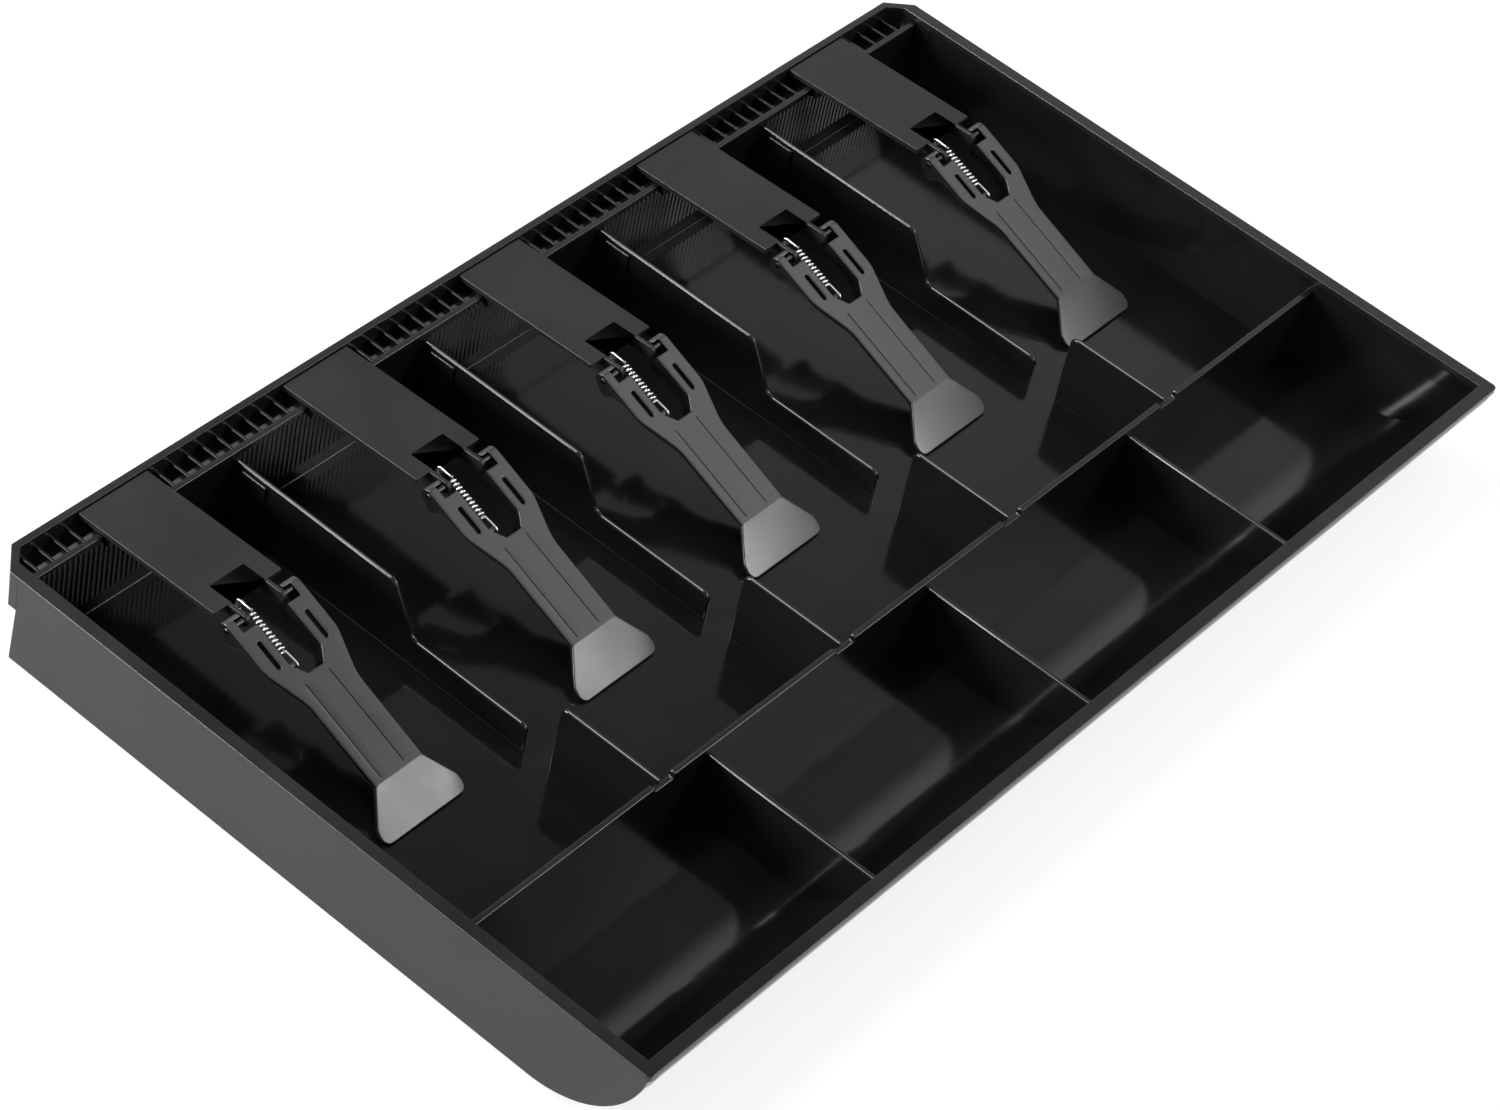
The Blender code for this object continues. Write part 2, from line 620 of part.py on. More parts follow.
def fork_slot(side):
    """Slot with round ends through one arm of the fork."""
    middle = side * SLOT_OFFSET
    radius = SLOT_WIDTH / 2
    front = -SLOT_FRONT_REACH + radius
    back = -SLOT_BACK_REACH - radius
    outline = arc((middle, front), radius, -math.pi, 0, FILLET_STEPS)
    outline += arc((middle, back), radius, 0, math.pi, FILLET_STEPS)
    return prism(outline, -HEEL_DEPTH, HEEL_DEPTH, "Z")


def lower_peg_place():
    """Centre of the lever's spring peg, as a place along and above the arm."""
    return -LOWER_PEG_REACH, SHEET_RISE - LOWER_PEG_DEPTH


def lower_peg():
    """Peg on the left wall of the opening, for the spring's lower hook."""
    return rod(lower_peg_place(), PEG_RADIUS, -FORK_INNER_X - OPENING_WALL / 2, -EAR_INNER_X + PEG_LENGTH)


def lever_mesh():
    """Lever seen from its hinge axis, with its arm level: sheet, cheeks, opening, slots, bores and peg."""
    profile, _ = lever_profile()
    sheet = prism(profile, -FOOT_WIDTH, FOOT_WIDTH, "X")
    plan = prism(lever_plan(), -ARM_REACH, ARM_REACH, "Z")
    wall = prism(opening_plan(OPENING_WALL, -WINDOW_REACH - CHEEK_WALL / 2),
                 SHEET_RISE - OPENING_WALL_DEPTH, SHEET_RISE - SHEET / 2, "Z")
    tall = 2 * HEEL_DEPTH
    opening = prism(opening_plan(0, HUB_BACK + tall), -tall, tall, "Z")
    inside = FORK_INNER_X - EMBED
    cheeks = joined([prism(cheek_outline(), *sorted((side * inside, side * CHEEK_OUTER_X)), "X")
                     for side in (-1, 1)])
    window, gap, hollows = fork_cuts()
    bores = rod((0, 0), PIN_RADIUS + PIN_PLAY, -CHEEK_OUTER_X - OVERRUN, CHEEK_OUTER_X + OVERRUN)
    steps = [("INTERSECT", plan), ("UNION", wall), ("UNION", cheeks), ("DIFFERENCE", hollows),
             ("DIFFERENCE", opening), ("DIFFERENCE", window), ("DIFFERENCE", gap),
             ("DIFFERENCE", joined([fork_slot(-1), fork_slot(1)])), ("DIFFERENCE", bores),
             ("UNION", lower_peg())]
    return worked("clip_lever", sheet, steps)


def rest_slope():
    """Angle by which the arm falls towards the foot when the foot's tip rests just over the floor."""
    _, tip = lever_profile()
    drop = FLOOR + CLEARANCE - PIVOT_Z
    return math.asin(-drop / tip.length) - math.atan2(-tip.y, -tip.x)


def pin_mesh(name, side):
    """Stub pin on the hinge axis, through one ear and one cheek, with a softened outer end."""
    inner = side * (EAR_INNER_X + PIN_PLAY)
    outer = side * (CHEEK_OUTER_X + PIN_PROUD)
    place = Matrix.Translation(((inner + outer) / 2, 0, 0)) @ Matrix.Rotation(math.pi / 2, 4, "Y")
    pin = bmesh.new()
    bmesh.ops.create_cone(pin, cap_ends=True, segments=ROUND_SIDES, radius1=PIN_RADIUS,
                          radius2=PIN_RADIUS, depth=abs(outer - inner), matrix=place)
    end = max(pin.faces, key=lambda face: side * face.calc_center_median().x)
    bmesh.ops.bevel(pin, geom=list(end.edges), offset=PIN_BEVEL, segments=1, affect="EDGES")
    mesh = bpy.data.meshes.new(name)
    pin.to_mesh(mesh)
    pin.free()
    return mesh


def spring_route():
    """Centre line of the spring's wire, seen from the hinge axis with the lever at rest.

    The coil is a helix about the straight line from the lever's peg to the bracket's peg:
    point(turn) = axis(turn * COIL_PITCH) + COIL_RADIUS * (side * cos(angle) + up * sin(angle)).
    It starts and ends on top, and from there each end runs over its peg and round it.
    """
    turned = Matrix.Rotation(rest_slope(), 3, "X")
    side = Vector((1, 0, 0))
    wrap = PEG_RADIUS + CLEARANCE + WIRE_RADIUS
    far_peg = Vector((-SPRING_OFFSET, PEG_BACK, PEG_RISE))
    near_peg = turned @ Vector((0, *lower_peg_place()))
    near_peg.x = -SPRING_OFFSET
    along = (far_peg - near_peg).normalized()
    up = side.cross(along)
    coil_start = near_peg + along * COIL_FRONT_GAP
    coil_length = COIL_COUNT * COIL_PITCH
    bends = np.linspace(math.pi / 2, math.pi / 2 - HOOK_SWEEP, CURL_POINTS)

    points = [near_peg + wrap * (up * math.sin(a) - along * math.cos(a)) for a in reversed(bends)]
    count = COIL_COUNT * CURL_POINTS
    for index in range(count + 1):
        angle = 2 * math.pi * index / CURL_POINTS + math.pi / 2
        offset = side * math.cos(angle) + up * math.sin(angle)
        points.append(coil_start + along * coil_length * index / count + offset * COIL_RADIUS)
    points += [far_peg + wrap * (up * math.sin(a) + along * math.cos(a)) for a in bends]
    return points


def least_self_gap(points):
    """Least gap between stretches of the wire more than half a curl apart, surface to surface."""
    places = np.array(points)
    gaps = []
    for index in range(len(places) - CURL_POINTS // 2):
        far = places[index + CURL_POINTS // 2 + 1:]
        if len(far):
            gaps.append(np.linalg.norm(far - places[index], axis=1).min())
    return min(gaps) - 2 * WIRE_RADIUS


def spring_curve():
    """Spring as one unbroken tube along its route."""
    points = spring_route()
    print("least gap of a spring to itself, mm:", round(least_self_gap(points) / MM, 2))
    curve = bpy.data.curves.new("clip_spring", "CURVE")
    curve.dimensions = "3D"
    curve.bevel_depth = WIRE_RADIUS
    curve.bevel_resolution = 1
    curve.use_fill_caps = True
    spline = curve.splines.new("POLY")
    spline.points.add(len(points) - 1)
    for target, point in zip(spline.points, points):
        target.co = (*point, 1)
    return curve


def clear_scene():
    """Take every object out of the scene."""
    for item in list(bpy.data.objects):
        bpy.data.objects.remove(item)


def place_piece(name, data, finish, parent, slope=0.0):
    """One node on its clip's hinge axis, turned down by a slope."""
    item = add_object(name, data)
    item.parent = parent
    item.rotation_euler.x = slope
    if not data.materials:
        data.materials.append(finish)
    return item


def clip_places():
    """Middle of each clip along X: the rib of the ladder nearest to the middle of its note bay."""
    places = []
    for index in range(BAY_COUNT):
        middle = -INNER_X + BAY_PITCH * (index + 1 / 2)
        places.append(rib_x(round((middle - FIRST_RIB_X) / RIB_PITCH)))
    return places


def shade_round(mesh, limit):
    """Smooth shading on the round stretches of a mesh, with its sharper edges kept."""
    mesh.shade_smooth()
    mesh.set_sharp_from_angle(angle=limit)


def build():
    """The tray and five clips."""
    clear_scene()
    tray_finish = material("tray_plastic", (0.022, 0.022, 0.024), 0.28, 0.0)
    bracket_finish = material("bracket_plastic", (0.045, 0.045, 0.047), 0.42, 0.0)
    lever_finish = material("lever_plastic", (0.085, 0.085, 0.088), 0.40, 0.0)
    pin_finish = material("pin_steel", (0.10, 0.10, 0.10), 0.35, 0.8)
    spring_finish = material("spring_steel", (0.72, 0.72, 0.72), 0.18, 1.0)

    smooth_limit = 30 * DEGREE
    tray = tray_mesh()
    bracket = bracket_mesh()
    lever = lever_mesh()
    left_pin = pin_mesh("hinge_pin_left", -1)
    right_pin = pin_mesh("hinge_pin_right", 1)
    for mesh in (tray, bracket, lever, left_pin, right_pin):
        shade_round(mesh, smooth_limit)
    spring = spring_curve()

    add_object("tray", tray).data.materials.append(tray_finish)
    slope = rest_slope()
    for number, x in enumerate(clip_places(), start=1):
        hinge = bpy.data.objects.new(f"clip_{number}_hinge", None)
        bpy.context.scene.collection.objects.link(hinge)
        hinge.location = (x, PIVOT_Y, PIVOT_Z)
        place_piece(f"clip_bracket_{number}", bracket, bracket_finish, hinge)
        place_piece(f"clip_lever_{number}", lever, lever_finish, hinge, slope)
        place_piece(f"hinge_pin_left_{number}", left_pin, pin_finish, hinge)
        place_piece(f"hinge_pin_right_{number}", right_pin, pin_finish, hinge)
        place_piece(f"clip_spring_{number}", spring, spring_finish, hinge)


build()
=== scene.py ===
"""The looks of the cash drawer insert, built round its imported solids.

The sections follow the tray as it is moulded and the clips as they are put together. Lengths are millimetres,
apart from the studio's places and the sizes in the materials, and the function that makes a mesh turns them into
metres. +X runs along the tray, +Y goes from the coin cups to the rail behind the note bays, +Z is up, and the
tray rests on z = 0.
"""

import math

import bpy
import numpy as np
from mathutils import Matrix


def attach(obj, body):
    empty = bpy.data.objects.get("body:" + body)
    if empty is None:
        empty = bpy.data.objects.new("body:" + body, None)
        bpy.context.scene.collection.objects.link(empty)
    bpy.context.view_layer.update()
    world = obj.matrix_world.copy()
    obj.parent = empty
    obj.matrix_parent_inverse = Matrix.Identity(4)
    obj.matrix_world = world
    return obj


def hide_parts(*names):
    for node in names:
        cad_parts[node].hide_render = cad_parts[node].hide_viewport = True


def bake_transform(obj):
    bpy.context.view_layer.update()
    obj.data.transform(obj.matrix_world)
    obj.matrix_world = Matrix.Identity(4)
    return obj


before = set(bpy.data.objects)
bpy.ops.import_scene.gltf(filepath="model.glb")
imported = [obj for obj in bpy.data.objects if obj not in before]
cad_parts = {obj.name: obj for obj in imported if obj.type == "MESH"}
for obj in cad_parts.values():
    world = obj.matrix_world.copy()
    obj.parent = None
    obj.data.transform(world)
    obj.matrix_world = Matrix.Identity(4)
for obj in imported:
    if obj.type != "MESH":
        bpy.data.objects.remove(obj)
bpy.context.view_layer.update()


# Camera: a long lens held high over the front left corner, so that all four cups and all five bays are seen
# into. It stands where the lines of the rim and of the dividers put it.
MM = 0.001


def standing(right, up, back, place):
    """Matrix of an object at a place in metres, with its own three axes along the given directions."""
    return Matrix((*zip(right, up, back, place), (0, 0, 0, 1)))


camera = bpy.data.objects.new("camera", bpy.data.cameras.new("camera"))
bpy.context.scene.collection.objects.link(camera)
camera_right = (0.63796, -0.75163, 0.16751)
camera_up = (0.46062, 0.54678, 0.69919)
camera_back = (-0.61712, -0.36890, 0.69504)
camera_place = (-836.43 * MM, -493.91 * MM, 933.24 * MM)
camera.matrix_world = standing(camera_right, camera_up, camera_back, camera_place)
camera.data.sensor_fit = "HORIZONTAL"
camera.data.sensor_width = 36.0
camera.data.lens = 108.5
camera.data.clip_end = 20.0
bpy.context.scene.camera = camera


# Studio: a pale sweep that the camera sees as white, and four soft boxes: one over the back, and one each at the
# left, the right and the front. Gloss sees a sky that is pale at the horizon, dark higher up and bright in a patch
# high over the back. The tray is lit by the boxes and by SKY_LIGHT, which is the same from all sides.
SKY_LIGHT = 0.35
SKY_LOW, SKY_HIGH = 0.88, 0.10
SKY_FADE_FROM, SKY_FADE_TO = math.radians(33), math.radians(53)
PATCH_WAY = (-0.05, 0.37, 0.93)
PATCH_REACH, PATCH_CORE = math.radians(20), math.radians(12)
PATCH_GLOW = 5.5
STUDIO_REACH = 4.0
STUDIO_SHADE = 0.32
STUDIO_GLOW = 0.76


def ramp(tree, value, begin, end, low, high, smooth=False):
    """Output that goes from low to high while a value goes from begin to end, evenly or smoothly."""
    slope = tree.nodes.new("ShaderNodeMapRange")
    slope.interpolation_type = "SMOOTHSTEP" if smooth else "LINEAR"
    for name, number in zip(("From Min", "From Max", "To Min", "To Max"), (begin, end, low, high)):
        slope.inputs[name].default_value = number
    tree.links.new(value, slope.inputs["Value"])
    return slope.outputs["Result"]


def seen_directly(tree):
    """1 for rays from the camera and for mirrored and refracted ones, 0 for the light that falls on things."""
    path = tree.nodes.new("ShaderNodeLightPath")
    seen = path.outputs["Is Camera Ray"]
    for ray in ("Is Glossy Ray", "Is Transmission Ray"):
        either = tree.nodes.new("ShaderNodeMath")
        either.operation = "MAXIMUM"
        tree.links.new(seen, either.inputs[0])
        tree.links.new(path.outputs[ray], either.inputs[1])
        seen = either.outputs[0]
    return seen


def blended(tree, share, low, high):
    """Output that is low where the share is 0 and high where it is 1. Each is a number or an output."""
    mix = tree.nodes.new("ShaderNodeMix")
    for name, source in (("Factor", share), ("A", low), ("B", high)):
        if isinstance(source, float):
            mix.inputs[name].default_value = source
        else:
            tree.links.new(source, mix.inputs[name])
    return mix.outputs["Result"]


scene = bpy.context.scene
scene.view_settings.view_transform = "Standard"
world = bpy.data.worlds.new("studio")
scene.world = world
world.use_nodes = True
sky = world.node_tree
backdrop = sky.nodes["Background"]
backdrop.inputs["Color"].default_value = (1, 1, 1, 1)
sky_way = sky.nodes.new("ShaderNodeTexCoord").outputs["Generated"]
sky_axes = sky.nodes.new("ShaderNodeSeparateXYZ")
sky.links.new(sky_way, sky_axes.inputs[0])
sky_fade = ramp(sky, sky_axes.outputs["Z"], math.sin(SKY_FADE_FROM), math.sin(SKY_FADE_TO), SKY_LOW, SKY_HIGH, True)
patch_nearness = sky.nodes.new("ShaderNodeVectorMath")
patch_nearness.operation = "DOT_PRODUCT"
patch_nearness.inputs[1].default_value = PATCH_WAY
sky.links.new(sky_way, patch_nearness.inputs[0])
sky_patch = ramp(sky, patch_nearness.outputs["Value"], math.cos(PATCH_REACH), math.cos(PATCH_CORE), 0, PATCH_GLOW,
                 True)
sky_sum = sky.nodes.new("ShaderNodeMath")
sky.links.new(sky_fade, sky_sum.inputs[0])
sky.links.new(sky_patch, sky_sum.inputs[1])
sky_seen = blended(sky, seen_directly(sky), SKY_LIGHT, sky_sum.outputs[0])
to_camera = sky.nodes.new("ShaderNodeLightPath").outputs["Is Camera Ray"]
sky.links.new(blended(sky, to_camera, sky_seen, 1.0), backdrop.inputs["Strength"])

floor_mesh = bpy.data.meshes.new("studio_floor")
floor_corners = [(x * STUDIO_REACH, y * STUDIO_REACH, 0) for x, y in ((-1, -1), (1, -1), (1, 1), (-1, 1))]
floor_mesh.from_pydata(floor_corners, [], [(0, 1, 2, 3)])
floor = bpy.data.objects.new("studio_floor", floor_mesh)
scene.collection.objects.link(floor)
floor.location.z = -0.1 * MM
floor_paint = bpy.data.materials.new("studio_floor")
floor_paint.use_nodes = True
sweep = floor_paint.node_tree
sweep.nodes.clear()
floor_out = sweep.nodes.new("ShaderNodeOutputMaterial")
floor_body = sweep.nodes.new("ShaderNodeBsdfDiffuse")
floor_body.inputs["Color"].default_value = (STUDIO_SHADE, STUDIO_SHADE, STUDIO_SHADE, 1)
floor_glow = sweep.nodes.new("ShaderNodeEmission")
floor_sum = sweep.nodes.new("ShaderNodeAddShader")
sweep.links.new(ramp(sweep, seen_directly(sweep), 0, 1, 0, STUDIO_GLOW), floor_glow.inputs["Strength"])
sweep.links.new(floor_body.outputs[0], floor_sum.inputs[0])
sweep.links.new(floor_glow.outputs[0], floor_sum.inputs[1])
sweep.links.new(floor_sum.outputs[0], floor_out.inputs["Surface"])
floor_mesh.materials.append(floor_paint)


def soft_box(name, place, aim, width, height, watts):
    """Rectangular lamp at a place in metres, turned towards a point."""
    lamp = bpy.data.objects.new(name, bpy.data.lights.new(name, "AREA"))
    lamp.data.shape = "RECTANGLE"
    lamp.data.size = width
    lamp.data.size_y = height
    lamp.data.energy = watts
    back = np.subtract(place, aim)
    back /= np.linalg.norm(back)
    side = np.cross((0, 0, 1), back)
    side /= np.linalg.norm(side)
    lamp.matrix_world = standing(side, np.cross(back, side), back, place)
    scene.collection.objects.link(lamp)


soft_box("box_overhead", (-0.15, 0.75, 1.7), (0, 0, 0), 0.9, 0.5, 12)
soft_box("box_left", (-1.2, 0.95, 0.45), (-0.2, 0.05, 0), 0.6, 0.5, 33)
soft_box("box_right", (1.15, -0.36, 1.45), (0, 0, 0), 0.9, 0.6, 3.6)
soft_box("box_front", (0.80, -1.05, 1.10), (-0.05, 0, 0), 0.65, 0.4, 10.5)


# Tray: one moulding of black polystyrene. The inside of the mould is polished, so the floor and the walls
# mirror each other, and the rim and the outside are finely etched.
TRAY_BODY = "tray"
HALF_LENGTH = 202.0
HALF_DEPTH = 122.0
TOP = 33.0
INNER_X = 197.6
FRONT_INNER_Y = -117.7
BACK_INNER_Y = 119.6
FLOOR_TOP = 2.0


def paint_with_shader(name):
    """New material, its node tree and its shader."""
    made = bpy.data.materials.new(name)
    made.use_nodes = True
    return made, made.node_tree, made.node_tree.nodes["Principled BSDF"]


def moulded_plastic(name, shade, roughness, level, grain, mottle, bump):
    """Moulded plastic: a near black body with cloudy wear in its roughness and a fine grain in its surface.

    The clouds are noise on Object coordinates. From their thin to their dense parts, roughness goes from
    roughness - mottle to roughness + mottle, and the shade from a seventh under to a seventh over its value.
    A finer noise, grain to the metre, raises the surface by up to bump metres.
    """
    made, tree, shader = paint_with_shader(name)
    shader.inputs["Specular IOR Level"].default_value = level
    place = tree.nodes.new("ShaderNodeTexCoord").outputs["Object"]
    cloud = tree.nodes.new("ShaderNodeTexNoise")
    cloud.inputs["Scale"].default_value = 38.0
    cloud.inputs["Detail"].default_value = 5.0
    tree.links.new(place, cloud.inputs["Vector"])
    thin, dense = 0.3, 0.7
    wear = ramp(tree, cloud.outputs["Fac"], thin, dense, roughness - mottle, roughness + mottle)
    tree.links.new(wear, shader.inputs["Roughness"])
    colour = tree.nodes.new("ShaderNodeVectorMath")
    colour.operation = "SCALE"
    colour.inputs[0].default_value = (shade, shade, shade * 1.02)
    tree.links.new(ramp(tree, cloud.outputs["Fac"], thin, dense, 0.86, 1.14), colour.inputs["Scale"])
    tree.links.new(colour.outputs[0], shader.inputs["Base Color"])
    etch = tree.nodes.new("ShaderNodeTexNoise")
    etch.inputs["Scale"].default_value = grain
    etch.inputs["Detail"].default_value = 2.0
    tree.links.new(place, etch.inputs["Vector"])
    relief = tree.nodes.new("ShaderNodeBump")
    relief.inputs["Strength"].default_value = 1.0
    relief.inputs["Distance"].default_value = bump
    tree.links.new(etch.outputs["Fac"], relief.inputs["Height"])
    tree.links.new(relief.outputs["Normal"], shader.inputs["Normal"])
    return made


polished = moulded_plastic("polished_black", 0.0065, 0.12, 0.50, 900.0, 0.03, 0.000001)
etched = moulded_plastic("etched_black", 0.010, 0.22, 0.46, 2600.0, 0.05, 0.000014)


def solid(loops, joined=False):
    """Points and faces of a skin over a stack of loops.

    loops[i, j] is point j of loop i. Neighbouring loops are joined by four-sided faces. The first and the last
    loop are joined to each other where joined is true, and covered by flat faces where it is not. The sum of the
    corner products of the faces gives the volume, and where it is negative the faces are turned outwards.
    """
    count, around = loops.shape[:2]
    index = np.arange(count * around).reshape(count, around)
    near = index if joined else index[:-1]
    far = np.roll(index, -1, 0) if joined else index[1:]
    quads = np.stack([near, np.roll(near, -1, 1), np.roll(far, -1, 1), far], -1).reshape(-1, 4)
    points = loops.reshape(-1, 3)
    corner = points[quads]
    volume = np.einsum("ij,ij->i", corner[:, 0], np.cross(corner[:, 1], corner[:, 2])).sum()
    volume += np.einsum("ij,ij->i", corner[:, 0], np.cross(corner[:, 2], corner[:, 3])).sum()
    faces = quads.tolist()
    if not joined:
        for loop in (index[0][::-1], index[-1]):
            fan = points[loop]
            volume += np.einsum("j,ij->", fan[0], np.cross(fan[1:-1], fan[2:]))
            faces.append(loop.tolist())
    if volume < 0:
        faces = [face[::-1] for face in faces]
    return points, faces


def piece(name, parts, paints, body, node, painted_by=None):
    """Object made of one or more skins, on its body and in place of its solid.

    painted_by gives the number of the paint for each face from the faces' centres and normals. Edges that turn by
    more than 38 degrees stay sharp, and the rest are shaded round.
    """
    sizes = np.cumsum([0] + [len(points) for points, _ in parts])
    points = np.concatenate([points for points, _ in parts]) * MM
    faces = [[corner + start for corner in face] for (_, skin), start in zip(parts, sizes) for face in skin]
    mesh = bpy.data.meshes.new(name)
    mesh.from_pydata(points.tolist(), [], faces)
    mesh.validate()
    for paint in paints:
        mesh.materials.append(paint)
    if painted_by:
        centre, normal = np.empty(len(mesh.polygons) * 3), np.empty(len(mesh.polygons) * 3)
        mesh.polygons.foreach_get("center", centre)
        mesh.polygons.foreach_get("normal", normal)
        chosen = painted_by(centre.reshape(-1, 3) / MM, normal.reshape(-1, 3)).astype(np.int32)
        mesh.polygons.foreach_set("material_index", chosen)
    mesh.shade_smooth()
    mesh.set_sharp_from_angle(angle=math.radians(38))
    item = bpy.data.objects.new(name, mesh)
    scene.collection.objects.link(item)
    facing = item.modifiers.new("even_normals", "WEIGHTED_NORMAL")
    facing.keep_sharp = True
    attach(item, body)
    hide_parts(node)
    return item


def tray_piece(name, parts, paints, painted_by=None):
    """Piece of the tray's own moulding."""
    piece(name, parts, paints, TRAY_BODY, "tray", painted_by)


def turn(centre, radius, start, end, steps):
    """Points of an arc from the angle start to the angle end, in degrees."""
    angle = np.radians(np.linspace(start, end, steps + 1))
    return np.stack([centre[0] + radius * np.cos(angle), centre[1] + radius * np.sin(angle)], -1)


# Rim of the tray: a flat frame all round, wider at the sides than at the back, with its two back corners cut.
# It is part of the moulding, and stands half a millimetre out over the rounded front.
RIM_EDGE = 0.25
RIM_LOW = TOP - 2.0
CORNER_CUT = 7.7
INNER_CUT = 4.29
CORNER_STEPS = 6
SIDE_LEAN = 2.2


def lean(z):
    """How far the inner face of a side wall has come in at a height, from nothing at the rim."""
    return SIDE_LEAN * (TOP - z) / (TOP - FLOOR_TOP)


def rim_paths(inset):
    """The outer and the inner outline of the rim, point for point, from the front left corner."""
    out_x, out_y = HALF_LENGTH - inset, HALF_DEPTH - inset
    round_out, round_in = 1.5, 0.4
    cut = CORNER_CUT - inset * (2 - math.sqrt(2))
    outer = np.concatenate([
        turn((-out_x + round_out, -out_y + round_out), round_out, 180, 270, CORNER_STEPS),
        turn((out_x - round_out, -out_y + round_out), round_out, 270, 360, CORNER_STEPS),
        [(out_x, out_y - cut), (out_x - cut, out_y), (-out_x + cut, out_y), (-out_x, out_y - cut)]])
    cut_x, cut_y = INNER_X - INNER_CUT, BACK_INNER_Y - INNER_CUT
    inner = np.concatenate([
        turn((-INNER_X + round_in, FRONT_INNER_Y + round_in), round_in, 180, 270, CORNER_STEPS),
        turn((INNER_X - round_in, FRONT_INNER_Y + round_in), round_in, 270, 360, CORNER_STEPS),
        [(INNER_X, cut_y), (cut_x, BACK_INNER_Y), (-cut_x, BACK_INNER_Y), (-INNER_X, cut_y)]])
    return outer, inner


def banded(outer, inner, share, height, joined=False):
    """Band between two paths: point(u, v) = outer(u) + (inner(u) - outer(u)) * share(v), at height(v)."""
    flat = outer[:, None] + (inner - outer)[:, None] * share[None, :, None]
    tall = np.broadcast_to(height, flat.shape[:2])
    return solid(np.concatenate([flat, tall[..., None]], -1), joined)


def rim_skin():
    """Rim as a closed band with two rounded edges on top, and with its inner side leaning as the walls do."""
    width = HALF_LENGTH - INNER_X
    edge_out = turn((RIM_EDGE, TOP - RIM_EDGE), RIM_EDGE, 180, 90, 4)
    edge_in = turn((width - RIM_EDGE, TOP - RIM_EDGE), RIM_EDGE, 90, 0, 4)
    profile = np.concatenate([[(0.0, RIM_LOW)], edge_out, edge_in, [(width + lean(RIM_LOW), RIM_LOW)]])
    return banded(*rim_paths(0.0), profile[:, 0] / width, profile[:, 1], joined=True)


tray_piece("tray_rim", [rim_skin()], [etched])


# Floor, front scoop and back wall: one bent sheet that runs the whole length of the tray, two millimetres
# thick. The rail that the clips grip is its back edge. Coins slide up the scoop into the fingers.
RAIL_FRONT_Y = 109.4
RAIL_BACK_Y = 111.4
RAIL_TOP = 30.7
SCOOP_FOOT_Y = -84.7
SCOOP_STEPS = 48
FRONT_STEP = 0.5
BACK_LEAN = 1.3
SKIRT_FOOT = 20.0
FLOOR_END_X = 196.6


def bow(start, foot, steps):
    """Points of the arc that falls from a starting point and runs out level at its foot."""
    run, fall = foot[0] - start[0], start[1] - foot[1]
    radius = (run * run + fall * fall) / (2 * fall)
    centre = (foot[0], foot[1] + radius)
    begin = math.degrees(math.atan2(start[1] - centre[1], start[0] - centre[0]))
    return turn(centre, radius, begin if begin < 0 else begin - 360, -90, steps)


def rounded(corners, steps=4):
    """Outline through corners (a, b, radius), each with a radius replaced by an arc that touches both sides."""
    corners = [np.array(corner, float) for corner in corners]
    parts = []
    for index, corner in enumerate(corners):
        place, radius = corner[:2], corner[2]
        before = corners[index - 1][:2] - place
        after = corners[(index + 1) % len(corners)][:2] - place
        before, after = before / np.linalg.norm(before), after / np.linalg.norm(after)
        if radius == 0:
            parts.append(place[None])
            continue
        half = math.acos(np.clip(before @ after, -1, 1)) / 2
        middle = before + after
        centre = place + middle / np.linalg.norm(middle) * radius / math.sin(half)
        start, end = (place + way * radius / math.tan(half) - centre for way in (before, after))
        first = math.degrees(math.atan2(start[1], start[0]))
        sweep = math.degrees(math.atan2(start[0] * end[1] - start[1] * end[0], start @ end))
        parts.append(turn(centre, radius, first, first + sweep, steps))
    return np.concatenate(parts)


def slab(outline, low, high, axis, edge=0.3, steps=3):
    """Plate with softened rims: an outline carried along an axis from low to high.

    At both ends the loop draws in by edge * (1 - sin a) while it goes on by edge * (1 - cos a), with a from 0 to
    90 degrees. It draws in along the mitre of each corner, so that walls of any direction lose the same width.
    """
    outline = np.asarray(outline, float)
    along = np.roll(outline, -1, 0) - outline
    along /= np.linalg.norm(along, axis=1)[:, None]
    area = (outline[:, 0] * np.roll(outline[:, 1], -1) - outline[:, 1] * np.roll(outline[:, 0], -1)).sum()
    facing = np.stack([along[:, 1], -along[:, 0]], -1) * math.copysign(1, area)
    facing_before = np.roll(facing, 1, 0)
    mitre = (facing + facing_before) / (1 + (facing * facing_before).sum(1))[:, None]
    angle = np.linspace(0, math.pi / 2, steps + 1) if edge else np.array([math.pi / 2])
    inset = edge * (1 - np.sin(angle))
    rise = edge * (1 - np.cos(angle))
    inset = np.concatenate([inset, inset[::-1]])
    height = np.concatenate([low + rise, high - rise[::-1]])
    flat = outline[None] - mitre[None] * inset[:, None, None]
    height = np.broadcast_to(height[:, None], flat.shape[:2])
    order = {"X": (height, flat[..., 0], flat[..., 1]),
             "Y": (flat[..., 0], height, flat[..., 1]),
             "Z": (flat[..., 0], flat[..., 1], height)}[axis]
    return solid(np.stack(order, -1))


